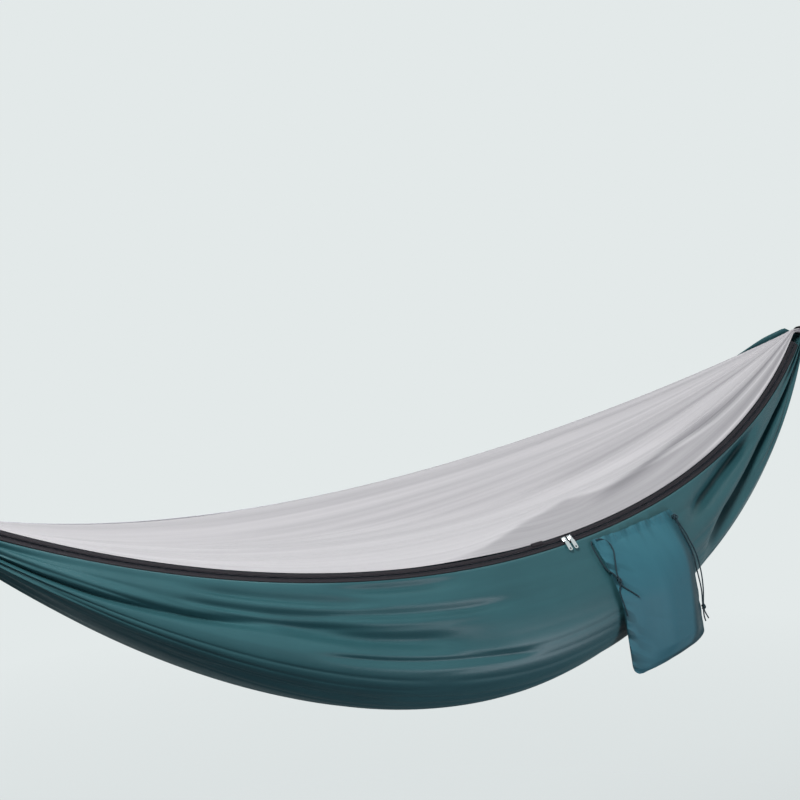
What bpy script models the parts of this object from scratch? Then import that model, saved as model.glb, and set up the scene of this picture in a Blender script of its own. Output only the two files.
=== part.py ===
"""A gathered-end camping hammock with a sewn-in insect net, a two-slider zip and a stuff sack.

The cloth hangs between two steel carabiners.  X runs along the hammock, +X towards the end where
the origin lies, on the bearing spot of that end's carabiner.  -Y is the zipped side and +Z is up.
Everything is in metres.
"""

import math

import bmesh
import bpy
import numpy as np
from mathutils import Matrix, Vector

# The hang: two rim arcs and the belly line between the gathered ends
HALF_CHORD = 1.15
RIM_SAG = 0.385
RIM_TILT = math.radians(40.5)
BELLY_DEPTH = 0.605
BELLY_FLARE_SHARE = 0.85
BELLY_POWER = 1.9
LEAN = math.radians(2.65)
NECK_RADIUS = 0.020
NECK_RIM_ANGLE = math.radians(35.0)

# Cloth thicknesses, with the pleats pressed together in the gathers
CLOTH = 0.002
CLOTH_GATHERED = 0.012
NET = 0.0012
NET_GATHERED = 0.006
NET_NECK_ANGLE = math.radians(38.0)
NET_SAG = 0.030

# Folds that run from gather to gather
BODY_FOLDS = 6
BODY_FOLD_MIDDLE = 0.007
BODY_FOLD_END = 0.024
FOLD_LIMIT_SHARE = 0.15
FOLD_START_SHARE = 0.17
NET_FOLDS = 3
NET_FOLD = 0.005

# Clearances
GAP = 0.0004
SEAM = 0.0016
NET_SEAM = 0.0009
SOFT_GAP = 0.0005

# The zip band, from the body cloth up to the net
TAPE_WIDTH = 0.0064
TAPE_THICK = 0.0012
COIL_WIDTH = 0.0021
COIL_THICK = 0.0026
COIL_SPLIT = 0.0016
ZIP_SETBACK = 0.045
STOP_LENGTH = 0.003
BINDING_WIDTH = 0.008
BINDING_THICK = 0.0016
TAB_LENGTH = 0.030
TAB_WIDTH = 0.007
TAB_THICK = 0.0012
TAB_X = 0.025

# Sliders and their pulls
SLIDER_MEET_X = 0.102
SLIDER_APART = 0.016
SLIDER_LENGTH = 0.012
SLIDER_PLATE = 0.001
SLIDER_FLANGE = 0.001
SLIDER_TAIL_HALF = 0.0046
SLIDER_HEAD_HALF = 0.0056
POST_WIDTH = 0.0006
POST_LENGTH = 0.004
BRIDGE_WIDTH = 0.0014
BRIDGE_BAR = 0.001
BRIDGE_LENGTH = 0.0078
EYE_INNER = 0.0013
EYE_OUTER = 0.0022
EYE_LENGTH = 0.003
PULL_LENGTH = 0.028
PULL_WIDTH = 0.010
PULL_NECK = 0.0036
PULL_THICK = 0.0012
PULL_HOLE = 0.0022
PULL_HANG = math.radians(5.0)

# Whipping, gathered hem and rope loop at each end
WHIP_CORD = 0.004
WHIP_TURNS = 6
WHIP_PITCH = 0.0046
WHIP_START = 0.004
HEM_LENGTH = 0.014
HEM_FLARE = 0.003
ROPE = 0.006
LOOP_HALF = 0.011
LOOP_LENGTH = 0.085

# Carabiners, with the gate on the upper side
WIRE = 0.008
BEND = 0.016
STRAIGHT = 0.048
GATE_BAR = 0.007
PIN = 0.0024
PIN_CLEARANCE = 0.0003
PIN_INSET = 0.0085
PIN_HEAD = 0.0006
TONGUE_THICK = 0.0028
TONGUE_HALF = 0.0032
SLOT_GAP = 0.0004
SLOT_DEPTH = 0.0043
STUB = 0.0032
NOSE_STUB = 0.0032
NOSE_GAP = 0.0007
LOOP_PLAY = 0.0006

# Stuff sack, hung from the zipped rim
SACK_X = 0.158
SACK_WIDTH = 0.250
SACK_LENGTH = 0.330
SACK_TOP_NEAR = 0.008
SACK_TOP_FAR = 0.024
SACK_SLANT_SHARE = 0.22
SACK_EDGE = 0.0030
SACK_CLOTH = 0.0010
SACK_SEAM = 0.006
SACK_CROWN = 0.016
SACK_THIN_SHARE = 0.06
SACK_CORNER = 0.030

# Drawcord and its knots
CORD = 0.003
CORD_GAP = 0.0006
KNOT_RADIUS = 0.0055
KNOT_LENGTH = 0.0115
TOP_KNOT_RADIUS = 0.0075
TOP_KNOT_LENGTH = 0.014
CORD_STEP = 0.007
EDGE_RAMP = 0.006

# Overrun of every cutter past the face it cuts
OVERRUN = 0.001

# Mesh fineness, in counts
BODY_STATIONS = 25
BODY_POINTS = 19
NET_POINTS = 12
BAND_STATIONS = 54
SACK_COLUMNS = 10
SACK_ROWS = 14
LOOP_SIDES = 24
SPACING_BIAS = 0.9

# Colours as 0 to 255 screen values, read off the photograph by eye
TEAL = (54, 94, 98)
SACK_TEAL = (64, 108, 121)
NET_GREY = (200, 199, 204)
NEAR_BLACK = (39, 40, 52)
CORD_TEAL = (29, 51, 59)
SILVER = (205, 210, 210)
STEEL = (120, 122, 124)
ROPE_BLACK = (24, 25, 30)

# Route points of the free cords: along the sack's top, down the sack, lift off what lies below
CORD_LEFT_A = [
    (-0.0020, 0.0060, -0.0012), (-0.0070, 0.0120, 0.0000), (-0.0085, 0.0340, 0.0000),
    (-0.0060, 0.0680, 0.0000), (0.0030, 0.0860, 0.0018), (0.0041, 0.0942, 0.0038),
]
CORD_LEFT_B = [
    (0.0080, 0.0055, 0.0000), (0.0220, 0.0065, 0.0000), (0.0340, 0.0170, 0.0000), (0.0330, 0.0360, 0.0000),
    (0.0200, 0.0620, 0.0000), (0.0090, 0.0860, 0.0018), (0.0079, 0.0942, 0.0038),
]
KNOT_LEFT = (0.0060, 0.0990, 0.0038)
TAIL_LEFT_A = [
    (0.0041, 0.1035, 0.0038), (0.0041, 0.1110, 0.0026), (0.0000, 0.1250, 0.0000), (0.0000, 0.1480, 0.0000),
    (0.0040, 0.1780, 0.0000),
]
TAIL_LEFT_B = [
    (0.0079, 0.1035, 0.0038), (0.0079, 0.1110, 0.0026), (0.0170, 0.1210, 0.0000), (0.0280, 0.1320, 0.0000),
    (0.0410, 0.1440, 0.0000),
]
KNOT_RIGHT_TOP = (0.2390, 0.0220, 0.0058)
CORD_RIGHT_A = [
    (0.2371, 0.0274, 0.0058), (0.2371, 0.0345, 0.0052), (0.2390, 0.0490, 0.0024),
    (0.2430, 0.0720, 0.0008), (0.2490, 0.1100, 0.0010),
    (0.2570, 0.1620, 0.0040), (0.2615, 0.2060, 0.0060), (0.2601, 0.2390, 0.0060), (0.2601, 0.2465, 0.0060),
]
CORD_RIGHT_B = [
    (0.2409, 0.0274, 0.0058), (0.2409, 0.0345, 0.0052), (0.2455, 0.0490, 0.0030),
    (0.2530, 0.0740, 0.0020), (0.2610, 0.1100, 0.0030),
    (0.2680, 0.1620, 0.0060), (0.2690, 0.2060, 0.0060), (0.2639, 0.2390, 0.0060), (0.2639, 0.2465, 0.0060),
]
KNOT_RIGHT = (0.2620, 0.2510, 0.0060)
TAIL_RIGHT_A = [
    (0.2601, 0.2555, 0.0060), (0.2601, 0.2630, 0.0060), (0.2605, 0.2760, 0.0060),
    (0.2640, 0.2900, 0.0060),
]
TAIL_RIGHT_B = [
    (0.2639, 0.2555, 0.0060), (0.2639, 0.2630, 0.0060), (0.2700, 0.2760, 0.0060),
    (0.2765, 0.2885, 0.0060),
]

# Sizes that follow from the driving ones
ZIP_END = HALF_CHORD - ZIP_SETBACK
RIM_RADIUS = (HALF_CHORD ** 2 + RIM_SAG ** 2) / (2 * RIM_SAG)
ARC_DROP = RIM_RADIUS - RIM_SAG
NECK_RIM_Y = NECK_RADIUS * math.cos(NECK_RIM_ANGLE)
NECK_RIM_Z = NECK_RADIUS * math.sin(NECK_RIM_ANGLE)
BAND_LEVEL = -CLOTH / 2
TAPE_BODY_OUT = -SEAM
TAPE_BODY_IN = TAPE_BODY_OUT - TAPE_WIDTH
COIL_BODY_OUT = TAPE_BODY_IN - GAP
COIL_BODY_IN = COIL_BODY_OUT - COIL_WIDTH
CHAIN_MIDDLE = COIL_BODY_IN - COIL_SPLIT / 2
COIL_NET_OUT = COIL_BODY_IN - COIL_SPLIT
COIL_NET_IN = COIL_NET_OUT - COIL_WIDTH
TAPE_NET_OUT = COIL_NET_IN - GAP
TAPE_NET_IN = TAPE_NET_OUT - TAPE_WIDTH
NET_EDGE_NEAR = TAPE_NET_IN - NET_SEAM
BINDING_IN = -SEAM - BINDING_WIDTH
NET_EDGE_FAR = BINDING_IN - NET_SEAM
ZIP_HALF_ANGLE = math.asin(ZIP_END / RIM_RADIUS)
WHIP_LENGTH = WHIP_START + WHIP_PITCH * WHIP_TURNS + WHIP_CORD
BUNDLE_END = HALF_CHORD + WHIP_LENGTH + HEM_LENGTH
LOOP_APEX = BUNDLE_END + LOOP_LENGTH
WIRE_APEX = LOOP_APEX - ROPE / 2 - WIRE / 2 - LOOP_PLAY
EYE_APEX = WIRE_APEX + 2 * BEND + STRAIGHT
BEARING_X = EYE_APEX - WIRE / 2
NEAR_CENTRE = Vector((0.0, ARC_DROP * math.cos(RIM_TILT) - NECK_RIM_Y,
                      ARC_DROP * math.sin(RIM_TILT) + NECK_RIM_Z))
NEAR_NORMAL = Vector((0.0, -math.sin(RIM_TILT), math.cos(RIM_TILT)))
COIL_TOP = COIL_THICK / 2
PLATE_IN = COIL_TOP + GAP
PLATE_OUT = PLATE_IN + SLIDER_PLATE
BAR_LEVEL = PLATE_OUT + GAP + EYE_OUTER


def srgb(colour):
    """Screen colour of 0 to 255 as linear values."""
    return tuple((value / 255.0) ** 2.2 for value in colour) + (1.0,)


def finish(name, colour, roughness, metallic=0.0):
    """A plain Principled material of its own for one object."""
    material = bpy.data.materials.new(name)
    material.use_nodes = True
    shader = material.node_tree.nodes["Principled BSDF"]
    shader.inputs["Base Color"].default_value = srgb(colour)
    shader.inputs["Roughness"].default_value = roughness
    shader.inputs["Metallic"].default_value = metallic
    return material


def add_object(name, bm, look, origin=Vector(), smooth=False):
    """An object from a bmesh given about the hammock's middle, with its origin moved to `origin`."""
    bmesh.ops.translate(bm, verts=bm.verts, vec=-origin)
    bmesh.ops.recalc_face_normals(bm, faces=bm.faces)
    mesh = bpy.data.meshes.new(name)
    bm.to_mesh(mesh)
    bm.free()
    if smooth:
        mesh.shade_smooth()
        mesh.set_sharp_from_angle(angle=math.radians(35.0))
    obj = bpy.data.objects.new(name, mesh)
    bpy.context.collection.objects.link(obj)
    obj.parent = MIDDLE
    obj.location = origin
    if look:
        mesh.materials.append(finish(name, *look))
    return obj


def as_cutter(obj):
    """Keep an object out of the build: it only shapes another one."""
    obj.hide_render = True
    obj.display_type = "WIRE"
    return obj


def combine(target, other, operation):
    """Boolean of `other` onto `target`, which keeps its name."""
    as_cutter(other)
    modifier = target.modifiers.new(other.name, "BOOLEAN")
    modifier.operation = operation
    modifier.solver = "EXACT"
    modifier.object = other


def slab(upper, lower):
    """A closed body between two grids of points with the same rows and columns."""
    bm = bmesh.new()
    rows, columns = len(upper), len(upper[0])
    top = [[bm.verts.new(point) for point in row] for row in upper]
    low = [[bm.verts.new(point) for point in row] for row in lower]
    for i in range(rows - 1):
        for j in range(columns - 1):
            bm.faces.new((top[i][j], top[i][j + 1], top[i + 1][j + 1], top[i + 1][j]))
            bm.faces.new((low[i][j], low[i + 1][j], low[i + 1][j + 1], low[i][j + 1]))
    for i in range(rows - 1):
        for j in (0, columns - 1):
            bm.faces.new((top[i][j], top[i + 1][j], low[i + 1][j], low[i][j]))
    for j in range(columns - 1):
        for i in (0, rows - 1):
            bm.faces.new((top[i][j], top[i][j + 1], low[i][j + 1], low[i][j]))
    return bm


def sweep(rings):
    """A closed body through rings of points, capped at both ends."""
    bm = bmesh.new()
    loops = [[bm.verts.new(point) for point in ring] for ring in rings]
    for first, second in zip(loops, loops[1:]):
        for k in range(len(first)):
            after = (k + 1) % len(first)
            bm.faces.new((first[k], first[after], second[after], second[k]))
    bm.faces.new(loops[0])
    bm.faces.new(list(reversed(loops[-1])))
    return bm


def smoothstep(value):
    """0 to 1 with level ends."""
    value = min(1.0, max(0.0, value))
    return value * value * (3 - 2 * value)


def rim_reach(x):
    """Distance of a rim arc from the chord between the gathers, in the rim's own plane."""
    if abs(x) >= HALF_CHORD:
        return 0.0
    return math.sqrt(RIM_RADIUS ** 2 - x ** 2) - ARC_DROP


def neck_radius(x):
    """Radius of the gathered bundle, flared at the hem past the whipping."""
    past = (abs(x) - HALF_CHORD - WHIP_LENGTH) / HEM_LENGTH
    return NECK_RADIUS + HEM_FLARE * smoothstep(past)


def belly_drop(x):
    """How far the belly line hangs below the rims, apart from the neck's own radius."""
    share = min(1.0, abs(x) / HALF_CHORD)
    depth = (BELLY_DEPTH - NECK_RADIUS) * (1 - share ** BELLY_POWER)
    return max(0.0, depth - rim_reach(x) * math.sin(RIM_TILT))


def body_outline(x, theta):
    """Outer surface of the body cloth at one section: theta 0 at the zipped rim, pi at the far rim."""
    reach = rim_reach(x)
    radius = neck_radius(x)
    angle = math.pi - NECK_RIM_ANGLE + (math.pi + 2 * NECK_RIM_ANGLE) * theta / math.pi
    flare = 1 + BELLY_FLARE_SHARE * math.sin(theta)
    y = -reach * math.cos(RIM_TILT) * math.cos(theta) * flare + radius * math.cos(angle)
    z =-reach * math.sin(RIM_TILT) - belly_drop(x) * math.sin(theta) + radius * math.sin(angle)
    return Vector((x, y, z))


def section_normal(x, theta):
    """Outward normal of the body cloth in its section plane."""
    step = 0.001
    low = max(0.0, theta - step)
    high = min(math.pi, theta + step)
    along = body_outline(x, high) - body_outline(x, low)
    return Vector((0.0, along.z, -along.y)).normalized()


def body_stations():
    """Places along X for the body's sections, closer together towards the gathers."""
    inner = [ZIP_END * math.sin(SPACING_BIAS * s) / math.sin(SPACING_BIAS)
             for s in np.linspace(-1.0, 1.0, BODY_STATIONS)]
    outer = [(ZIP_END + HALF_CHORD) / 2, HALF_CHORD, HALF_CHORD + WHIP_LENGTH, BUNDLE_END]
    return [-x for x in reversed(outer)] + inner + outer


def gather_share(x):
    """0 where the cloth hangs open, 1 in the gather."""
    return smoothstep((abs(x) - ZIP_END) / (HALF_CHORD - ZIP_END))


def build_body():
    """The one sheet that carries the sleeper, with its main folds and both gathered ends."""
    outer, inner = [], []
    for x in body_stations():
        wall = CLOTH + (CLOTH_GATHERED - CLOTH) * gather_share(x)
        share = min(1.0, abs(x) / HALF_CHORD)
        depth = BODY_FOLD_MIDDLE + (BODY_FOLD_END - BODY_FOLD_MIDDLE) * share ** 2
        depth = min(depth, FOLD_LIMIT_SHARE * belly_drop(x))
        row_out, row_in = [], []
        for v in np.linspace(0.0, 1.0, BODY_POINTS):
            theta = math.pi * v
            fade = smoothstep(v / FOLD_START_SHARE) * smoothstep((1 - v) / FOLD_START_SHARE)
            fold = depth * fade * (1 - math.cos(2 * math.pi * BODY_FOLDS * v)) / 2
            normal = section_normal(x, theta)
            point = body_outline(x, theta) - normal * fold
            row_out.append(point)
            row_in.append(point - normal * wall)
        outer.append(row_out)
        inner.append(row_in)
    add_object("hammock_body", slab(outer, inner), (TEAL, 0.45), smooth=True)


def band_point(angle, out, level, side=-1):
    """A point by the rim arc: `out` past the rim in its plane, `level` off that plane."""
    radius = RIM_RADIUS + out
    y = NEAR_CENTRE.y - radius * math.cos(RIM_TILT) * math.cos(angle) - level * math.sin(RIM_TILT)
    z = NEAR_CENTRE.z - radius * math.sin(RIM_TILT) * math.cos(angle) + level * math.cos(RIM_TILT)
    return Vector((radius * math.sin(angle), -side * y, z))


def build_strip(name, out_high, out_low, thick, look, half_angle=ZIP_HALF_ANGLE, side=-1):
    """A flat strip that follows a rim arc."""
    rings = []
    for angle in np.linspace(-half_angle, half_angle, BAND_STATIONS):
        rings.append([
            band_point(angle, out_high, BAND_LEVEL - thick / 2, side),
            band_point(angle, out_high, BAND_LEVEL + thick / 2, side),
            band_point(angle, out_low, BAND_LEVEL + thick / 2, side),
            band_point(angle, out_low, BAND_LEVEL - thick / 2, side),
        ])
    add_object(name, sweep(rings), look)


def build_block(name, angle, half_length, out_high, out_low, level_low, level_high, look):
    """A small block at one place on the zipped rim, square to it."""
    along = Vector((math.cos(angle), math.sin(angle) * math.cos(RIM_TILT),
                    math.sin(angle) * math.sin(RIM_TILT)))
    ring = [band_point(angle, out, level)
            for out, level in ((out_high, level_low), (out_high, level_high),
                               (out_low, level_high), (out_low, level_low))]
    rings = [[point + along * shift for point in ring] for shift in (-half_length, half_length)]
    add_object(name, sweep(rings), look)


def build_zip():
    """Tapes, coil rows and end stops of the zip, the far binding and the small tab."""
    stop_angle = STOP_LENGTH / RIM_RADIUS + GAP / RIM_RADIUS
    row_angle = ZIP_HALF_ANGLE - stop_angle
    build_strip("zip_tape_body", TAPE_BODY_OUT, TAPE_BODY_IN, TAPE_THICK, (NEAR_BLACK, 0.8))
    build_strip("zip_tape_net", TAPE_NET_OUT, TAPE_NET_IN, TAPE_THICK, (NEAR_BLACK, 0.8))
    build_strip("zip_coil_body", COIL_BODY_OUT, COIL_BODY_IN, COIL_THICK, (NEAR_BLACK, 0.5), row_angle)
    build_strip("zip_coil_net", COIL_NET_OUT, COIL_NET_IN, COIL_THICK, (NEAR_BLACK, 0.5), row_angle)
    build_strip("far_edge_binding", -SEAM, BINDING_IN, BINDING_THICK, (NET_GREY, 0.8), side=1)
    for end, sign in (("left", -1), ("right", 1)):
        angle = sign * (ZIP_HALF_ANGLE - STOP_LENGTH / (2 * RIM_RADIUS))
        build_block("zip_stop_" + end, angle, STOP_LENGTH / 2, COIL_BODY_OUT, COIL_NET_IN,
                    BAND_LEVEL - COIL_THICK / 2, BAND_LEVEL + COIL_THICK / 2, (NEAR_BLACK, 0.4))
    tab_low = BAND_LEVEL + TAPE_THICK / 2 + GAP
    build_block("net_tab", math.asin(TAB_X / RIM_RADIUS), TAB_LENGTH / 2, TAPE_NET_IN + TAB_WIDTH / 2,
                TAPE_NET_IN - TAB_WIDTH / 2, tab_low, tab_low + TAB_THICK, (NEAR_BLACK, 0.8))


def build_net():
    """The insect net, sewn along both rims and gathered in with the body at the ends."""
    upper, lower = [], []
    for x in body_stations():
        share = min(1.0, abs(x) / HALF_CHORD)
        gather = gather_share(x)
        thick = NET + (NET_GATHERED - NET) * gather
        near_x = min(abs(x), HALF_CHORD)
        near = band_point(math.asin(near_x / (RIM_RADIUS + NET_EDGE_NEAR)), NET_EDGE_NEAR, BAND_LEVEL)
        far = band_point(math.asin(near_x / (RIM_RADIUS + NET_EDGE_FAR)), NET_EDGE_FAR, BAND_LEVEL, 1)
        row = []
        for v in np.linspace(0.0, 1.0, NET_POINTS):
            window = math.sin(math.pi * v)
            sag = NET_SAG * (1 - share ** 2) * window
            fold = NET_FOLD * (1 - share ** 2) * window * math.cos(2 * math.pi * NET_FOLDS * v)
            open_y = near.y * (1 - v) + far.y * v
            open_z = near.z * (1 - v) + far.z * v - sag + fold
            angle = math.pi - NET_NECK_ANGLE - (math.pi - 2 * NET_NECK_ANGLE) * v
            neck_y = neck_radius(x) * math.cos(angle)
            neck_z = neck_radius(x) * math.sin(angle)
            row.append(Vector((x, open_y * (1 - gather) + neck_y * gather,
                               open_z * (1 - gather) + neck_z * gather)))
        above, below = [], []
        for j, point in enumerate(row):
            along = row[min(j + 1, len(row) - 1)] - row[max(j - 1, 0)]
            normal = Vector((0.0, -along.z, along.y)).normalized()
            above.append(point + normal * (thick / 2 * (1 - gather)))
            below.append(above[-1] - normal * thick)
        upper.append(above)
        lower.append(below)
    add_object("bug_net", slab(upper, lower), (NET_GREY, 0.7), smooth=True)


def build_slider(end, sign, angle):
    """One slider: two flanged plates on a thin post between the coil rows, with its bridge."""
    axes = Matrix((
        (math.cos(angle), math.sin(angle) * math.cos(RIM_TILT), math.sin(angle) * math.sin(RIM_TILT)),
        (math.sin(angle), -math.cos(angle) * math.cos(RIM_TILT), -math.cos(angle) * math.sin(RIM_TILT)),
        tuple(NEAR_NORMAL),
    ))
    seat = band_point(angle, CHAIN_MIDDLE, BAND_LEVEL)

    def place(along, out, level):
        return seat + axes[0] * along + axes[1] * out + axes[2] * level

    def channel(flip):
        rings = []
        flange = TAPE_THICK / 2 + GAP
        for along, half in ((-SLIDER_LENGTH / 2, SLIDER_HEAD_HALF), (0.0, SLIDER_HEAD_HALF),
                            (SLIDER_LENGTH / 2, SLIDER_TAIL_HALF)):
            inner = half - SLIDER_FLANGE
            outline = [(-half, flange), (-half, PLATE_OUT), (half, PLATE_OUT), (half, flange),
                       (inner, flange), (inner, PLATE_IN), (-inner, PLATE_IN), (-inner, flange)]
            rings.append([place(sign * along, out, flip * level) for out, level in outline])
        return rings

    def box(half_along, half_out, low, high):
        ring = [(-half_out, low), (half_out, low), (half_out, high), (-half_out, high)]
        return [[place(along, out, level) for out, level in ring] for along in (-half_along, half_along)]

    half = BRIDGE_LENGTH / 2
    top = BAR_LEVEL + BRIDGE_BAR / 2
    shoulder = BRIDGE_BAR / 2
    arch = [(-half, PLATE_OUT - SLIDER_PLATE / 2), (-half, top - shoulder), (-half + shoulder, top),
            (half - shoulder, top), (half, top - shoulder), (half, PLATE_OUT - SLIDER_PLATE / 2),
            (half - BRIDGE_BAR, PLATE_OUT - SLIDER_PLATE / 2), (half - BRIDGE_BAR, top - BRIDGE_BAR),
            (-half + BRIDGE_BAR, top - BRIDGE_BAR), (-half + BRIDGE_BAR, PLATE_OUT - SLIDER_PLATE / 2)]
    bridge = [[place(along, out, level) for along, level in arch]
              for out in (-BRIDGE_WIDTH / 2, BRIDGE_WIDTH / 2)]
    look = (SILVER, 0.3, 1.0)
    body = add_object("slider_" + end, sweep(channel(1)), look, NEAR_CENTRE)
    parts = {
        "lower": sweep(channel(-1)),
        "post": sweep(box(POST_LENGTH / 2, POST_WIDTH / 2, -PLATE_IN - SLIDER_PLATE / 2,
                          PLATE_IN + SLIDER_PLATE / 2)),
        "bridge": sweep(bridge),
    }
    for part, bm in parts.items():
        combine(body, add_object("guide_" + part + "_" + end, bm, None, NEAR_CENTRE), "UNION")
    return place, axes


def build_pull(end, place, axes):
    """A stamped pull whose rolled eye turns on the slider's bridge."""
    pivot = place(0.0, 0.0, BAR_LEVEL)
    down = axes[1] * math.cos(PULL_HANG) - axes[2] * math.sin(PULL_HANG)
    face = axes[0].cross(down)
    eye = []
    for half in (-EYE_LENGTH / 2, EYE_LENGTH / 2):
        eye.append([pivot + axes[0] * half
                    + (down * math.cos(a) + face * math.sin(a)) * EYE_OUTER
                    for a in np.linspace(0.0, 2 * math.pi, 16, endpoint=False)])
    bore = []
    for half in (-EYE_LENGTH / 2 - OVERRUN, EYE_LENGTH / 2 + OVERRUN):
        bore.append([pivot + axes[0] * half
                     + (down * math.cos(a) + face * math.sin(a)) * EYE_INNER
                     for a in np.linspace(0.0, 2 * math.pi, 16, endpoint=False)])
    neck_end = EYE_OUTER + PULL_NECK
    corner = PULL_WIDTH / 4
    start = (EYE_INNER + EYE_OUTER) / 2
    outline = [(-PULL_NECK / 2, start), (-PULL_NECK / 2, neck_end - corner / 2),
               (-PULL_WIDTH / 2, neck_end + corner), (-PULL_WIDTH / 2, PULL_LENGTH - corner),
               (-PULL_WIDTH / 2 + corner, PULL_LENGTH), (PULL_WIDTH / 2 - corner, PULL_LENGTH),
               (PULL_WIDTH / 2, PULL_LENGTH - corner), (PULL_WIDTH / 2, neck_end + corner),
               (PULL_NECK / 2, neck_end - corner / 2), (PULL_NECK / 2, start)]
    plate = [[pivot + axes[0] * a + down * b + face * shift for a, b in outline]
             for shift in (-PULL_THICK / 2, PULL_THICK / 2)]
    hole_at = PULL_LENGTH - 2 * PULL_HOLE
    hole = [[pivot + axes[0] * PULL_HOLE * math.cos(a) + down * (hole_at + PULL_HOLE * math.sin(a))
             + face * shift for a in np.linspace(0.0, 2 * math.pi, 12, endpoint=False)]
            for shift in (-PULL_THICK, PULL_THICK)]
    obj = add_object("pull_" + end, sweep(plate), (SILVER, 0.25, 1.0), pivot)
    combine(obj, add_object("guide_eye_" + end, sweep(eye), None, pivot), "UNION")
    combine(obj, add_object("guide_bore_" + end, sweep(bore), None, pivot), "DIFFERENCE")
    combine(obj, add_object("guide_hole_" + end, sweep(hole), None, pivot), "DIFFERENCE")


def add_tube(name, points, radius, resolution, look, origin=Vector()):
    """A round tube along points, as a curve with filled caps."""
    curve = bpy.data.curves.new(name, "CURVE")
    curve.dimensions = "3D"
    curve.bevel_depth = radius
    curve.bevel_resolution = resolution
    curve.use_fill_caps = True
    spline = curve.splines.new("POLY")
    spline.points.add(len(points) - 1)
    for slot, point in zip(spline.points, points):
        slot.co = (*(point - origin), 1.0)
    obj = bpy.data.objects.new(name, curve)
    bpy.context.collection.objects.link(obj)
    obj.parent = MIDDLE
    obj.location = origin
    if look:
        curve.materials.append(finish(name, *look))
    return obj


def build_whipping(end, sign):
    """Black cord wound round the gather as one unbroken tube."""
    radius = NECK_RADIUS + WHIP_CORD / 2 + GAP
    start = HALF_CHORD + WHIP_START
    count = LOOP_SIDES * WHIP_TURNS
    points = []
    for k in range(count + 1):
        angle = 2 * math.pi * k / LOOP_SIDES
        x = start + WHIP_PITCH * k / LOOP_SIDES
        points.append(Vector((sign * x, radius * math.cos(angle), radius * math.sin(angle))))
    points.insert(0, points[0] + (points[0] - points[1]).normalized() * WHIP_CORD)
    points.append(points[-1] + (points[-1] - points[-2]).normalized() * WHIP_CORD)
    table = np.array(points)
    apart = np.linalg.norm(table[:, None, :] - table[None, :, :], axis=2)
    order = np.arange(len(table))
    far = np.abs(order[:, None] - order[None, :]) > LOOP_SIDES / 2
    least = apart[far].min() - WHIP_CORD
    print("whipping_" + end, "least gap to itself", round(least * 1000, 3), "mm")
    add_tube("whipping_" + end, points, WHIP_CORD / 2, 1, (ROPE_BLACK, 0.7))


def build_rope_loop(end, sign):
    """The rope loop that leaves the gather and goes round the carabiner."""
    bow_centre = LOOP_APEX - LOOP_HALF
    points = [Vector((BUNDLE_END + GAP, -LOOP_HALF, 0.0))]
    for angle in np.linspace(-math.pi / 2, math.pi / 2, 15):
        points.append(Vector((bow_centre + LOOP_HALF * math.cos(angle), LOOP_HALF * math.sin(angle), 0.0)))
    points.append(Vector((BUNDLE_END + GAP, LOOP_HALF, 0.0)))
    points = [Vector((sign * p.x, p.y, p.z)) for p in points]
    add_tube("rope_loop_" + end, points, ROPE / 2, 3, (ROPE_BLACK, 0.75))


def cylinder(start, stop, radius, sides=16):
    """A closed cylinder between two points."""
    along = (stop - start).normalized()
    first = along.orthogonal().normalized()
    second = along.cross(first)
    return sweep([[centre + (first * math.cos(a) + second * math.sin(a)) * radius
                   for a in np.linspace(0.0, 2 * math.pi, sides, endpoint=False)]
                  for centre in (start, stop)])


def brick(low, high):
    """A closed box between two corners."""
    ring = [(low.y, low.z), (high.y, low.z), (high.y, high.z), (low.y, high.z)]
    return sweep([[Vector((x, y, z)) for y, z in ring] for x in (low.x, high.x)])


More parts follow.
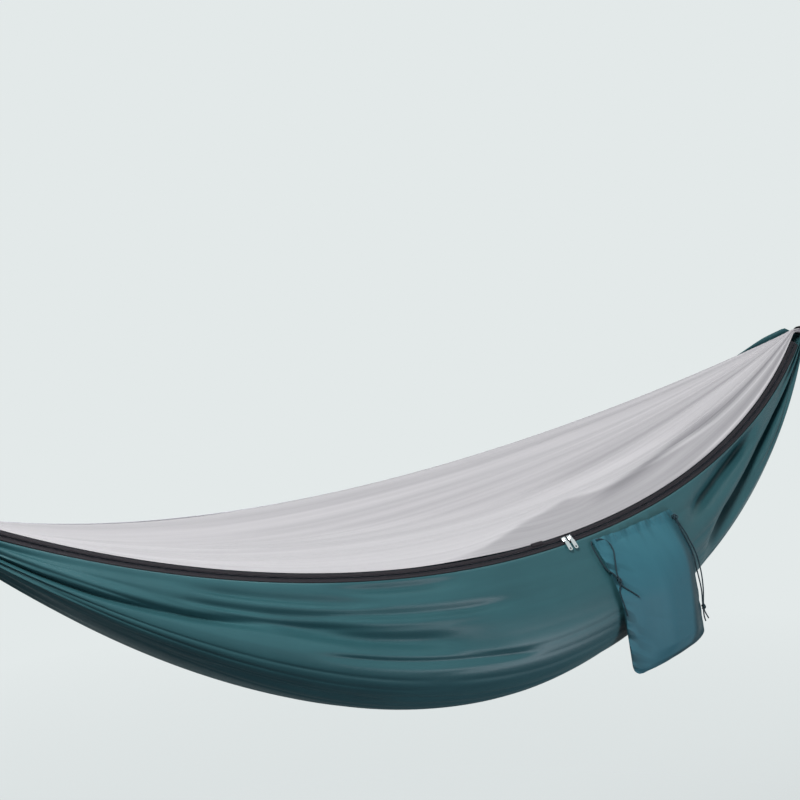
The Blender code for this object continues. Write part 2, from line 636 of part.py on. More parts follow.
def build_carabiner(end, sign):
    """A wire carabiner with a tongue for the gate's pin, and the gate with its slot."""
    def at(along, across, up):
        return Vector((sign * (WIRE_APEX + along), across, up))

    def box(low, high):
        a, b = at(*low), at(*high)
        return brick(Vector((min(a.x, b.x), a.y, a.z)), Vector((max(a.x, b.x), b.y, b.z)))

    stub_end = BEND + STUB
    nose = BEND + STRAIGHT - NOSE_STUB
    pin_at = BEND + PIN_INSET
    gate_start = pin_at - TONGUE_HALF
    path = [at(nose, 0.0, BEND)]
    for angle in np.linspace(math.pi / 2, -math.pi / 2, 11):
        path.append(at(BEND + STRAIGHT + BEND * math.cos(angle), 0.0, BEND * math.sin(angle)))
    for angle in np.linspace(-math.pi / 2, -3 * math.pi / 2, 11):
        path.append(at(BEND + BEND * math.cos(angle), 0.0, BEND * math.sin(angle)))
    path.append(at(stub_end, 0.0, BEND))
    look = (STEEL, 0.35, 1.0)
    body = add_tube("carabiner_" + end, path, WIRE / 2, 3, look)
    tongue_reach = pin_at
    tongue = add_object("guide_tongue_" + end, box(
        (BEND, -TONGUE_THICK / 2, BEND - TONGUE_HALF),
        (tongue_reach, TONGUE_THICK / 2, BEND + TONGUE_HALF)), None)
    round_end = add_object("guide_round_" + end, cylinder(
        at(pin_at, -TONGUE_THICK / 2, BEND), at(pin_at, TONGUE_THICK / 2, BEND), TONGUE_HALF), None)
    bore = add_object("guide_pin_bore_" + end, cylinder(
        at(pin_at, -WIRE, BEND), at(pin_at, WIRE, BEND), PIN / 2 + PIN_CLEARANCE), None)
    body = to_mesh_object(body)
    combine(body, tongue, "UNION")
    combine(body, round_end, "UNION")
    combine(body, bore, "DIFFERENCE")

    pivot = at(pin_at, 0.0, BEND)
    gate = add_object("gate_" + end, cylinder(
        at(gate_start, 0.0, BEND), at(nose - NOSE_GAP, 0.0, BEND), GATE_BAR / 2), look, pivot, smooth=True)
    slot = add_object("guide_slot_" + end, box(
        (gate_start - OVERRUN, -TONGUE_THICK / 2 - SLOT_GAP, BEND - GATE_BAR),
        (pin_at + SLOT_DEPTH, TONGUE_THICK / 2 + SLOT_GAP, BEND + GATE_BAR)), None)
    combine(gate, slot, "DIFFERENCE")
    combine(gate, bore, "DIFFERENCE")
    pin_half = GATE_BAR / 2 + PIN_HEAD
    add_object("gate_pin_" + end, cylinder(
        at(pin_at, -pin_half, BEND), at(pin_at, pin_half, BEND), PIN / 2), look, smooth=True)


def to_mesh_object(obj):
    """A mesh object of the same name in place of a curve object, so that it can take Booleans."""
    name = obj.name
    mesh = bpy.data.meshes.new_from_object(obj)
    place = obj.location.copy()
    old = obj.data
    bpy.data.objects.remove(obj)
    bpy.data.curves.remove(old)
    result = bpy.data.objects.new(name, mesh)
    bpy.context.collection.objects.link(result)
    result.parent = MIDDLE
    result.location = place
    mesh.shade_smooth()
    mesh.set_sharp_from_angle(angle=math.radians(35.0))
    return result


def widest_theta(x):
    """Where the zipped side of the belly reaches furthest out."""
    thetas = np.linspace(0.0, math.pi / 2, 91)
    return thetas[int(np.argmin([body_outline(x, theta).y for theta in thetas]))]


def cloth_outline(x, theta):
    """The body's outline with the flat stretches between its sections and next to the zipped rim."""
    first = math.pi / (BODY_POINTS - 1)
    if 0.0 < theta < first:
        return cloth_outline(x, 0.0).lerp(cloth_outline(x, first), theta / first)
    stations = body_stations()
    k = max(i for i, station in enumerate(stations[:-1]) if station <= x)
    share = (x - stations[k]) / (stations[k + 1] - stations[k])
    return body_outline(stations[k], theta).lerp(body_outline(stations[k + 1], theta), share)


def belly_walk(x, distance):
    """Point and outward normal at a distance down the cloth from the zipped rim, plumb past the bulge."""
    last = widest_theta(x)
    steps = 60
    here = cloth_outline(x, 0.0)
    walked = 0.0
    for k in range(1, steps + 1):
        theta = last * k / steps
        after = cloth_outline(x, theta)
        length = (after - here).length
        if walked + length >= distance:
            share = (distance - walked) / length
            return here.lerp(after, share), section_normal(x, theta)
        walked += length
        here = after
    outward = section_normal(x, last)
    return here - Vector((0.0, 0.0, distance - walked)), outward


def sack_thickness(u, s):
    """Thickness of the sack at shares u across and s down."""
    down = max(0.0, (s - SACK_THIN_SHARE) / (1 - SACK_THIN_SHARE))
    crown = math.sin(math.pi * min(1.0, max(0.0, u))) ** 0.6 * math.sin(math.pi * min(1.0, down)) ** 0.6
    return SACK_EDGE + SACK_CROWN * crown


def sack_base(across, down):
    """Point on the cloth behind the sack, and the outward normal there."""
    share = across / SACK_WIDTH
    x = SACK_X + across + down * SACK_SLANT_SHARE
    top = SACK_TOP_NEAR + (SACK_TOP_FAR - SACK_TOP_NEAR) * share
    return belly_walk(x, top + down)


def sack_cover(across, down):
    """Height of whatever lies under the cord above the cloth: the sack, or nothing beside it."""
    beside = max(-across, across - SACK_WIDTH, 0.0)
    ramp = 1 - smoothstep(beside / EDGE_RAMP)
    column = min(SACK_COLUMNS, max(0.0, across / SACK_WIDTH * SACK_COLUMNS))
    before = min(SACK_COLUMNS - 1, int(column))
    low, high = (sack_thickness((before + k) / SACK_COLUMNS, down / SACK_LENGTH) for k in (0, 1))
    return (SOFT_GAP + low + (high - low) * (column - before)) * ramp


def sack_layers(seam, cloth, top):
    """Front and back grids of the sack, inside its seams by `seam` and inside its faces by `cloth`."""
    front, back = [], []
    end = 1 - seam / SACK_LENGTH
    for s in [top, SACK_THIN_SHARE / 2, *np.linspace(SACK_THIN_SHARE, end, SACK_ROWS)]:
        down = SACK_LENGTH * s
        to_end = SACK_LENGTH - down
        inset = seam
        if to_end < SACK_CORNER:
            inset += SACK_CORNER - math.sqrt(SACK_CORNER ** 2 - (SACK_CORNER - to_end) ** 2)
        row_front, row_back = [], []
        for i in range(SACK_COLUMNS + 1):
            across = inset + (SACK_WIDTH - 2 * inset) * i / SACK_COLUMNS
            u = across / SACK_WIDTH if seam else i / SACK_COLUMNS
            point, normal = sack_base(across, down)
            row_back.append(point + normal * (SOFT_GAP + cloth))
            row_front.append(point + normal * (SOFT_GAP + sack_thickness(u, s) - cloth))
        front.append(row_front)
        back.append(row_back)
    return front, back


def build_sack():
    """The stuff sack, an open pouch turning at its top edge, with its mouth drawn nearly shut."""
    front, back = sack_layers(0.0, 0.0, 0.0)
    hinge = (back[0][0] + back[0][-1]) / 2
    direction = (back[0][-1] - back[0][0]).normalized()
    sack = add_object("stuff_sack", slab(front, back), (SACK_TEAL, 0.5), hinge, smooth=True)
    hollow = slab(*sack_layers(SACK_SEAM, SACK_CLOTH, -OVERRUN / SACK_LENGTH))
    combine(sack, add_object("sack_hollow", hollow, None, hinge), "DIFFERENCE")
    return hinge, direction


def cord_point(route_point):
    """World place of a route point given across, down and lifted off what lies below."""
    across, down, lift = route_point
    point, normal = sack_base(across, down)
    return point + normal * (sack_cover(across, down) + CORD_GAP + CORD / 2 + lift)


def smooth_route(route, step):
    """World points at about `step` along a Catmull-Rom curve through the route's own points."""
    points = [Vector(point) for point in route]
    padded = [points[0] * 2 - points[1]] + points + [points[-1] * 2 - points[-2]]
    dense = []
    for a, b, c, d in zip(padded, padded[1:], padded[2:], padded[3:]):
        for t in np.linspace(0.0, 1.0, 12, endpoint=False):
            dense.append((b * 2 + (c - a) * t + (a * 2 - b * 5 + c * 4 - d) * t ** 2
                          + (b * 3 - a - c * 3 + d) * t ** 3) / 2)
    dense.append(points[-1])
    dense = [cord_point(point) for point in dense]
    lengths = np.cumsum([0.0] + [(q - p).length for p, q in zip(dense, dense[1:])])
    count = max(4, int(round(lengths[-1] / step)))
    result = []
    for target in np.linspace(0.0, lengths[-1], count + 1):
        k = min(len(dense) - 2, max(0, int(np.searchsorted(lengths, target)) - 1))
        span = max(lengths[k + 1] - lengths[k], 1e-9)
        result.append(dense[k].lerp(dense[k + 1], min(1.0, (target - lengths[k]) / span)))
    return result, lengths[-1]


def build_knot(name, route_point, radius, length, origin):
    """A pulled-tight knot as a rounded solid along the cord, with flat ends that the strands meet."""
    across, down, lift = route_point
    centre = cord_point(route_point)
    axis = (cord_point((across, down + length / 2, lift)) - centre).normalized()
    first = Vector((1.0, 0.0, 0.0)).cross(axis).normalized()
    second = axis.cross(first)
    rings = []
    for angle in np.linspace(-math.pi / 4, math.pi / 4, 5):
        middle = centre + axis * (length / 2 * math.sin(angle))
        reach = radius * math.cos(angle)
        rings.append([middle + (first * math.cos(a) + second * math.sin(a)) * reach
                      for a in np.linspace(0.0, 2 * math.pi, 10, endpoint=False)])
    add_object(name, sweep(rings), (CORD_TEAL, 0.7), origin, smooth=True)


def build_drawcord(hinge):
    """The free stretches of the drawcord and their knots, all carried by the sack."""
    routes = {
        "drawcord_left_a": CORD_LEFT_A, "drawcord_left_b": CORD_LEFT_B,
        "drawcord_left_tail_a": TAIL_LEFT_A, "drawcord_left_tail_b": TAIL_LEFT_B,
        "drawcord_right_a": CORD_RIGHT_A, "drawcord_right_b": CORD_RIGHT_B,
        "drawcord_right_tail_a": TAIL_RIGHT_A, "drawcord_right_tail_b": TAIL_RIGHT_B,
    }
    for name, route in routes.items():
        points, length = smooth_route(route, CORD_STEP)
        print(name, "length", round(length * 1000, 1), "mm")
        add_tube(name, points, CORD / 2, 2, (CORD_TEAL, 0.7), hinge)
    build_knot("drawcord_knot_left", KNOT_LEFT, KNOT_RADIUS, KNOT_LENGTH, hinge)
    build_knot("drawcord_knot_right", KNOT_RIGHT, KNOT_RADIUS, KNOT_LENGTH, hinge)
    build_knot("drawcord_knot_right_top", KNOT_RIGHT_TOP, TOP_KNOT_RADIUS, TOP_KNOT_LENGTH, hinge)


for leftover in list(bpy.data.objects):
    bpy.data.objects.remove(leftover)

MIDDLE = bpy.data.objects.new("hammock_middle", None)
MIDDLE.location = (-BEARING_X, 0.0, 0.0)
MIDDLE.rotation_euler = (LEAN, 0.0, 0.0)
bpy.context.collection.objects.link(MIDDLE)

build_body()
build_net()
build_zip()
for END, SIGN in (("left", -1), ("right", 1)):
    SEAT_ANGLE = math.asin((SLIDER_MEET_X + SIGN * SLIDER_APART / 2) / RIM_RADIUS)
    PLACE, AXES = build_slider(END, SIGN, SEAT_ANGLE)
    build_pull(END, PLACE, AXES)
    build_whipping(END, SIGN)
    build_rope_loop(END, SIGN)
    build_carabiner(END, SIGN)
SACK_HINGE, SACK_DIRECTION = build_sack()
build_drawcord(SACK_HINGE)
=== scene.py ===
"""Looks of a gathered-end hammock with an insect net, dressed round its CAD frame."""

import logging
import math
from dataclasses import dataclass, field
from enum import Enum
from typing import Iterable, Sequence

import bmesh
import bpy
import numpy as np
from mathutils import Matrix, Vector


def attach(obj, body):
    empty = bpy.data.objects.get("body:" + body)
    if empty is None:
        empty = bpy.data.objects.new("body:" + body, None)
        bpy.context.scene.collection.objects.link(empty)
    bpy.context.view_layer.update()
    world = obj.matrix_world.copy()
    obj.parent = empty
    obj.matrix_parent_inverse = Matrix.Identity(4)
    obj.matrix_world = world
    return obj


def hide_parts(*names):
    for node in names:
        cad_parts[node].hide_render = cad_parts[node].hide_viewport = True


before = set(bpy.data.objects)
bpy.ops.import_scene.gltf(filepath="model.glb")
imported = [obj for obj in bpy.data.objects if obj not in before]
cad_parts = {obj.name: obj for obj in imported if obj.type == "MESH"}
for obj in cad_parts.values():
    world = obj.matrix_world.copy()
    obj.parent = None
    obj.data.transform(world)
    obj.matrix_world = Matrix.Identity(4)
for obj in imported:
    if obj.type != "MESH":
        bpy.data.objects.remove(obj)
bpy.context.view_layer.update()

LOG = logging.getLogger("hammock")
Points = list[Vector]
Triple = tuple[float, float, float]
Colour = tuple[float, float, float, float]
Route = Sequence[Triple]


class End(Enum):
    """The two gathered ends, by their side of the hammock's middle."""

    LEFT = -1
    RIGHT = 1

    @property
    def label(self) -> str:
        """The end's word in the names of nodes."""
        return self.name.lower()


class Rim(Enum):
    """The two long edges, by their side across the hammock."""

    NEAR = -1
    FAR = 1


def smoothstep(value: np.ndarray | float) -> np.ndarray | float:
    """0 to 1 with level ends.

    Args:
        value: what runs from 0 to 1, as a number or an array.

    Returns:
        The eased value.
    """
    value = np.clip(value, 0.0, 1.0)
    return value * value * (3.0 - 2.0 * value)


def value_noise(x: np.ndarray, y: np.ndarray, seed: int) -> np.ndarray:
    """Smooth random numbers on a unit grid.

    Args:
        x: first coordinate, in cells.
        y: second coordinate, in cells.
        seed: which of the random grids.

    Returns:
        Numbers from -1 to 1.
    """
    table = np.random.RandomState(seed).uniform(-1.0, 1.0, (128, 128))
    i, j = np.floor(x).astype(int), np.floor(y).astype(int)
    fx, fy = smoothstep(x - i), smoothstep(y - j)
    corner = [[table[(i + a) % 128, (j + b) % 128] for b in (0, 1)] for a in (0, 1)]
    low = corner[0][0] * (1 - fy) + corner[0][1] * fy
    high = corner[1][0] * (1 - fy) + corner[1][1] * fy
    return low * (1 - fx) + high * fx


@dataclass(frozen=True)
class Hang:
    """Shape of the hanging hammock, with the sizes of the CAD frame, in metres about its middle."""

    half_chord: float = 1.15
    rim_sag: float = 0.385
    rim_tilt: float = math.radians(40.5)
    belly_depth: float = 0.605
    belly_flare: float = 0.85
    belly_power: float = 1.9
    lean: float = math.radians(2.65)
    neck: float = 0.020
    neck_rim_angle: float = math.radians(35.0)
    net_neck_angle: float = math.radians(38.0)
    hem_length: float = 0.014
    hem_flare: float = 0.003
    whip_length: float = 0.0356
    zip_setback: float = 0.045
    bearing_x: float = 1.353
    cloth: float = 0.002

    @property
    def rim_radius(self) -> float:
        """Radius of both rim arcs."""
        return (self.half_chord ** 2 + self.rim_sag ** 2) / (2 * self.rim_sag)

    @property
    def arc_drop(self) -> float:
        """Distance from a rim arc's centre to the chord between the gathers."""
        return self.rim_radius - self.rim_sag

    @property
    def bundle_end(self) -> float:
        """Where the gathered cloth ends."""
        return self.half_chord + self.whip_length + self.hem_length

    @property
    def zip_half_angle(self) -> float:
        """Half the angle of the rim arc that the zip covers."""
        return math.asin((self.half_chord - self.zip_setback) / self.rim_radius)

    def placed(self, points: np.ndarray) -> np.ndarray:
        """Points about the hammock's middle, leaned and moved into the row frame.

        Args:
            points: an array whose last axis is x, y, z.

        Returns:
            The same points in the row frame.
        """
        x, y, z = points[..., 0], points[..., 1], points[..., 2]
        c, s = math.cos(self.lean), math.sin(self.lean)
        return np.stack([x - self.bearing_x, y * c - z * s, y * s + z * c], axis=-1)

    def spot(self, x: float, y: float, z: float) -> Vector:
        """One point about the hammock's middle, in the row frame."""
        return Vector(self.placed(np.array([x, y, z])).tolist())

    def turned(self, direction: Vector) -> Vector:
        """A direction about the hammock's middle, leaned into the row frame."""
        return Matrix.Rotation(self.lean, 3, "X") @ direction

    def share(self, x: np.ndarray) -> np.ndarray:
        """0 at the hammock's middle, 1 at the gathers and past them."""
        return np.minimum(1.0, np.abs(x) / self.half_chord)

    def reach(self, x: np.ndarray) -> np.ndarray:
        """Distance of a rim arc from the chord, in the rim's own plane."""
        root = np.sqrt(np.maximum(self.rim_radius ** 2 - x ** 2, 0.0))
        return np.where(np.abs(x) < self.half_chord, root - self.arc_drop, 0.0)

    def neck_radius(self, x: np.ndarray) -> np.ndarray:
        """Radius of the gathered bundle, flared at the hem past the whipping."""
        past = (np.abs(x) - self.half_chord - self.whip_length) / self.hem_length
        return self.neck + self.hem_flare * smoothstep(past)

    def outline(self, x: np.ndarray, theta: np.ndarray) -> np.ndarray:
        """Outer surface of the body cloth.

        Args:
            x: places along the hammock.
            theta: 0 at the near rim, pi at the far rim.

        Returns:
            Points about the hammock's middle.
        """
        reach = self.reach(x)
        depth = (self.belly_depth - self.neck) * (1 - self.share(x) ** self.belly_power)
        drop = np.maximum(0.0, depth - reach * math.sin(self.rim_tilt))
        radius = self.neck_radius(x)
        angle = math.pi - self.neck_rim_angle + (math.pi + 2 * self.neck_rim_angle) * theta / math.pi
        flare = 1 + self.belly_flare * np.sin(theta)
        y = -reach * math.cos(self.rim_tilt) * np.cos(theta) * flare + radius * np.cos(angle)
        z = -reach * math.sin(self.rim_tilt) - drop * np.sin(theta) + radius * np.sin(angle)
        return np.stack([x + 0.0 * y, y, z], axis=-1)

    def outward(self, x: np.ndarray, theta: np.ndarray) -> np.ndarray:
        """Outward normal of the body cloth in its section plane.

        Args:
            x: places along the hammock.
            theta: 0 at the near rim, pi at the far rim.

        Returns:
            Unit vectors about the hammock's middle.
        """
        step = 0.001
        along = (self.outline(x, np.minimum(math.pi, theta + step))
                 - self.outline(x, np.maximum(0.0, theta - step)))
        normal = np.stack([0.0 * x + 0.0 * theta, along[..., 2], -along[..., 1]], axis=-1)
        return normal / np.linalg.norm(normal, axis=-1, keepdims=True)

    def band(self, angle: np.ndarray, out: np.ndarray | float, level: np.ndarray | float,
             rim: Rim = Rim.NEAR) -> np.ndarray:
        """Points by a rim arc.

        Args:
            angle: places along the arc, from its middle.
            out: distance past the rim in its plane.
            level: distance off that plane, upwards.
            rim: which long edge.

        Returns:
            Points about the hammock's middle.
        """
        radius = self.rim_radius + out
        c, s = math.cos(self.rim_tilt), math.sin(self.rim_tilt)
        centre_y = self.arc_drop * c - self.neck * math.cos(self.neck_rim_angle)
        centre_z = self.arc_drop * s + self.neck * math.sin(self.neck_rim_angle)
        y = centre_y - radius * c * np.cos(angle) - level * s
        z = centre_z - radius * s * np.cos(angle) + level * c
        return np.stack([radius * np.sin(angle) + 0.0 * y, -rim.value * y, z], axis=-1)


HANG = Hang()


class Expr:
    """A value in a shader, so that shader maths reads as Python."""

    def __init__(self, graph: "Graph", socket: bpy.types.NodeSocket) -> None:
        """Wrap one output socket."""
        self.graph = graph
        self.socket = socket

    def of(self, output: str | int) -> "Expr":
        """Another output of the same node."""
        return Expr(self.graph, self.socket.node.outputs[output])

    def _math(self, operation: str, *values: "Expr | float") -> "Expr":
        """A Math node on expressions and numbers."""
        return self.graph.add("ShaderNodeMath", {"operation": operation}, dict(enumerate(values)))

    def __add__(self, other: "Expr | float") -> "Expr":
        """Sum."""
        return self._math("ADD", self, other)

    def __radd__(self, other: float) -> "Expr":
        """Sum with a number first."""
        return self._math("ADD", other, self)

    def __sub__(self, other: "Expr | float") -> "Expr":
        """Difference."""
        return self._math("SUBTRACT", self, other)

    def __rsub__(self, other: float) -> "Expr":
        """Difference with a number first."""
        return self._math("SUBTRACT", other, self)

    def __mul__(self, other: "Expr | float") -> "Expr":
        """Product."""
        return self._math("MULTIPLY", self, other)

    def __rmul__(self, other: float) -> "Expr":
        """Product with a number first."""
        return self._math("MULTIPLY", other, self)

    def larger(self, other: "Expr | float") -> "Expr":
        """The larger of the two."""
        return self._math("MAXIMUM", self, other)

    def clamped(self) -> "Expr":
        """The number held between 0 and 1."""
        return self._math("MINIMUM", self.larger(0.0), 1.0)

    def wave(self) -> "Expr":
        """Sine of the number, moved to run from 0 to 1."""
        return self._math("SINE", self) * 0.5 + 0.5


class Graph:
    """The nodes of one material or world, added by one method."""

    def __init__(self, name: str, world: bool = False) -> None:
        """Start with only a shader and an output.

        Args:
            name: the new material's name.
            world: whether it is a world instead.
        """
        self.owner = (bpy.data.worlds if world else bpy.data.materials).new(name)
        self.owner.use_nodes = True
        self.tree = self.owner.node_tree
        output = next(node for node in self.tree.nodes if node.type.startswith("OUTPUT"))
        self.surface = output.inputs["Surface"]
        self.shader = self.surface.links[0].from_node

    def add(self, kind: str, settings: dict | None = None, inputs: dict | None = None) -> Expr:
        """Add a node.

        Args:
            kind: the node's type.
            settings: its properties, which are set first.
            inputs: values or expressions by socket name or number.

        Returns:
            Its first output.
        """
        node = self.tree.nodes.new(kind)
        for name, value in (settings or {}).items():
            setattr(node, name, value)
        for key, value in (inputs or {}).items():
            self.feed(node.inputs[key], value)
        return Expr(self, node.outputs[0])

    def feed(self, socket: bpy.types.NodeSocket, value: object) -> None:
        """Set or link one input socket.

        Args:
            socket: the input.
            value: a number, a colour, a vector or an expression.
        """
        if isinstance(value, Expr):
            self.tree.links.new(value.socket, socket)
        else:
            socket.default_value = value

    def set(self, **values: object) -> None:
        """Set or link the shader's sockets, with underscores for spaces in their names."""
        for name, value in values.items():
            self.feed(self.shader.inputs[name.replace("_", " ")], value)

    def coords(self, source: str, scale: Triple = (1.0, 1.0, 1.0)) -> Expr:
        """Coordinates of the piece, scaled: its "UV" ones or its "Object" ones."""
        inputs = {"Vector": self.add("ShaderNodeTexCoord").of(source), "Scale": scale}
        return self.add("ShaderNodeMapping", None, inputs)

    def parts(self, vector: Expr) -> list[Expr]:
        """The x, y and z of a vector."""
        split = self.add("ShaderNodeSeparateXYZ", None, {0: vector})
        return [split.of(axis) for axis in "XYZ"]

    def attribute(self, name: str) -> Expr:
        """A number that the piece's mesh holds at its points."""
        return self.add("ShaderNodeAttribute", {"attribute_name": name}).of("Fac")

    def noise(self, at: Expr, scale: float, detail: float = 2.0) -> Expr:
        """Value of a noise pattern."""
        inputs = {"Vector": at, "Scale": scale, "Detail": detail, "Roughness": 0.55}
        return self.add("ShaderNodeTexNoise", None, inputs)

    def blend(self, factor: Expr | float, low: Colour | Expr, high: Colour | Expr) -> Expr:
        """A colour between two colours."""
        return self.add("ShaderNodeMix", {"data_type": "RGBA"}, {0: factor, 6: low, 7: high}).of(2)

    def mix(self, factor: Expr | float, low: Expr, high: Expr) -> Expr:
        """A shader between two shaders."""
        return self.add("ShaderNodeMixShader", None, {0: factor, 1: low, 2: high})

    def bump(self, height: Expr, strength: float, distance: float) -> None:
        """Feed the shader's normal from a height."""
        inputs = {"Height": height, "Strength": strength, "Distance": distance}
        self.set(Normal=self.add("ShaderNodeBump", None, inputs))


def screen(red: float, green: float, blue: float) -> Colour:
    """A colour of 0 to 255 on the screen, as linear values.

    Args:
        red: the red channel.
        green: the green channel.
        blue: the blue channel.

    Returns:
        The colour, with full alpha.
    """
    shares = (channel / 255.0 for channel in (red, green, blue))
    return (*(c / 12.92 if c <= 0.04045 else ((c + 0.055) / 1.055) ** 2.4 for c in shares), 1.0)


def toned(colour: Colour, factor: float, offset: float = 0.0) -> Colour:
    """A colour made darker or lighter."""
    return (*(min(1.0, channel * factor + offset) for channel in colour[:3]), 1.0)


@dataclass(frozen=True)
class Finish:
    """A finish that runs between two tones."""

    name: str
    shade: Colour
    bright: Colour

    def lay(self, graph: Graph) -> None:
        """Lay out the nodes, which each kind of finish does in its own way."""
        raise NotImplementedError

    def make(self) -> bpy.types.Material:
        """Build the material.

        Returns:
            The material.
        """
        graph = Graph(self.name)
        self.lay(graph)
        return graph.owner


@dataclass(frozen=True)
class TaffetaNylon(Finish):
    """Close-woven satin nylon, with a fine plain weave and soft streaks along its warp.

    It is darker where the piece's own stored value paints shade onto it, as on the stuff sack's
    turned-away right side, its foot, its creases and its mouth.
    """

    roughness: float = 0.44
    index: float = 1.33
    fuzz: float = 0.10
    thread: float = 0.0006

    def lay(self, graph: Graph) -> None:
        """Lay out the nodes, on UVs in metres.

        Args:
            graph: the material's nodes.
        """
        streak = graph.noise(graph.coords("UV", (2.2, 26.0, 1.0)), 1.0, 4.0)
        cloud = graph.noise(graph.coords("UV"), 5.0, 3.0)
        tone = streak * 0.55 + cloud * 0.45
        cloth = graph.blend(tone, self.shade, self.bright)
        # Painted shade: the stored value darkens the colour towards a deep tone of the cloth.
        painted_shade = graph.attribute("painted_shade") * 0.7
        graph.set(Base_Color=graph.blend(painted_shade, cloth, toned(self.shade, 0.12)),
                  Roughness=self.roughness + (tone - 0.5) * 0.16,
                  IOR=self.index, Sheen_Weight=self.fuzz, Sheen_Roughness=0.35, Sheen_Tint=self.bright)
        turn = math.pi / self.thread
        warp, weft, _ = graph.parts(graph.coords("UV", (turn, turn, 1.0)))
        graph.bump(warp.wave() * weft.wave() + cloud * 0.4, 0.22, 0.0004)


@dataclass(frozen=True)
class Netting(Finish):
    """Fine insect netting: pale and slightly clear, with painted shade, painted highlights and random
    streaks from the piece's own value, and clearer where it is painted darker.
    """

    hole: float = 0.0016

    def lay(self, graph: Graph) -> None:
        """Lay out the nodes, on UVs in metres.

        Args:
            graph: the material's nodes.
        """
        thread = graph.noise(graph.coords("UV", (3.0, 140.0, 1.0)), 1.0)
        # Painted light and shade: the stored value carries painted shade and highlight bands along with
        # random streaks.
        tone = (graph.attribute("net_streaks_and_painted_light") * 0.85 + thread * 0.15).clamped()
        turn = 2 * math.pi / self.hole
        across, along, _ = graph.parts(graph.coords("UV", (turn, turn, 1.0)))
        holes = across.wave() * along.wave()
        # Where shade is painted, the net is also made clearer, so the dark cloth inside shows through.
        graph.set(Base_Color=graph.blend(tone, self.shade, self.bright), Roughness=0.62,
                  Specular_IOR_Level=0.3, Sheen_Weight=0.25, Sheen_Roughness=0.5,
                  Alpha=(0.78 + tone * 0.20 - holes * 0.08).clamped())
        graph.bump(holes * 0.5 + thread, 0.25, 0.0006)


@dataclass(frozen=True)
class WovenTape(Finish):
    """Dull woven tape with a herringbone, as on zips and bindings."""

    pitch: float = 0.0011

    def lay(self, graph: Graph) -> None:
        """Lay out the nodes, on Object coordinates.

        Args:
            graph: the material's nodes.
        """
        at = graph.coords("Object")
        x, _, z = graph.parts(at)
        turn = 2 * math.pi / self.pitch
        weave = ((x + z * 0.8) * turn).wave() * ((x - z * 0.8) * turn).wave()
        wear = graph.noise(at, 60.0, 3.0)
        graph.set(Base_Color=graph.blend(weave * 0.4 + wear * 0.6, self.shade, self.bright),
                  Roughness=0.74 + wear * 0.14, Specular_IOR_Level=0.3)
        graph.bump(weave + wear * 0.4, 0.35, 0.0003)


@dataclass(frozen=True)
class MouldedNylon(Finish):
    """Dark moulded nylon of coils and stops, a little glossier where it rubs."""

    def lay(self, graph: Graph) -> None:
        """Lay out the nodes, on Object coordinates.

        Args:
            graph: the material's nodes.
        """
        rub = graph.noise(graph.coords("Object"), 220.0, 3.0)
        graph.set(Base_Color=graph.blend(rub, self.shade, self.bright),
                  Roughness=0.3 + rub * 0.25, Specular_IOR_Level=0.5)
        graph.bump(rub, 0.12, 0.0002)


@dataclass(frozen=True)
class BraidedCord(Finish):
    """Round braided cord with crossing strands."""

    pitch: float = 0.003
    strands: int = 5

    def lay(self, graph: Graph) -> None:
        """Lay out the nodes, on UVs of turn and metres along.

        Args:
            graph: the material's nodes.
        """
        turn, length, _ = graph.parts(graph.coords("UV"))
        around = turn * (2 * math.pi * self.strands)
        along = length * (2 * math.pi / self.pitch)
        braid = (around + along).wave() * (along - around).wave()
        fuzz = graph.noise(graph.coords("Object"), 900.0)
        tone = (braid * 0.75 + fuzz * 0.25).clamped()
        graph.set(Base_Color=graph.blend(tone, self.shade, self.bright),
                  Roughness=0.78 - braid * 0.12, Specular_IOR_Level=0.3)
        graph.bump(braid + fuzz * 0.3, 0.55, 0.0005)


@dataclass(frozen=True)
class PlatedMetal(Finish):
    """Plated or bare metal with fine scratches and a worn tone."""

    roughness: float

    def lay(self, graph: Graph) -> None:
        """Lay out the nodes, on Object coordinates.

        Args:
            graph: the material's nodes.
        """
        wear = graph.noise(graph.coords("Object"), 140.0, 4.0)
        scratch = graph.noise(graph.coords("Object", (40.0, 900.0, 900.0)), 1.0)
        graph.set(Base_Color=graph.blend(wear, self.shade, self.bright), Metallic=1.0,
                  Roughness=self.roughness + (scratch - 0.5) * 0.16)
        graph.bump(scratch, 0.1, 0.0001)


BODY_NYLON = TaffetaNylon("body_nylon", screen(34, 66, 72), screen(57, 102, 107), roughness=0.38)
SACK_NYLON = TaffetaNylon("sack_nylon", screen(49, 93, 104), screen(64, 114, 126),
                          roughness=0.5, index=1.2, fuzz=0.04)
INSECT_NET = Netting("insect_netting", screen(128, 126, 130), screen(197, 194, 196))
ZIP_TAPE = WovenTape("zip_tape_weave", screen(18, 14, 19), screen(33, 28, 34))
EDGE_TAPE = WovenTape("edge_tape_weave", screen(176, 175, 182), screen(200, 199, 205))
COIL_NYLON = MouldedNylon("coil_nylon", screen(30, 30, 38), toned(screen(30, 30, 38), 1.9, 0.004))
THREAD = MouldedNylon("sewing_thread", screen(26, 44, 50), toned(screen(26, 44, 50), 1.9, 0.004))
DRAWCORD = BraidedCord("drawcord_braid", screen(20, 38, 46), screen(38, 62, 70))
BLACK_ROPE = BraidedCord("rope_braid", screen(16, 17, 20), screen(44, 45, 50), pitch=0.006, strands=6)
NICKEL = PlatedMetal("slider_nickel", screen(196, 202, 204), screen(226, 231, 232), 0.24)
STEEL = PlatedMetal("carabiner_steel_satin", screen(128, 130, 132), screen(168, 170, 172), 0.34)


def link_mesh(name: str, mesh: bpy.types.Mesh, finish: bpy.types.Material) -> bpy.types.Object:
    """Place a finished mesh at the origin, smooth-shaded.

    Args:
        name: the piece's name.
        mesh: its mesh.
        finish: its material.

    Returns:
        The piece.
    """
    obj = bpy.data.objects.new(name, mesh)
    bpy.context.collection.objects.link(obj)
    mesh.materials.append(finish)
    mesh.shade_smooth()
    return obj


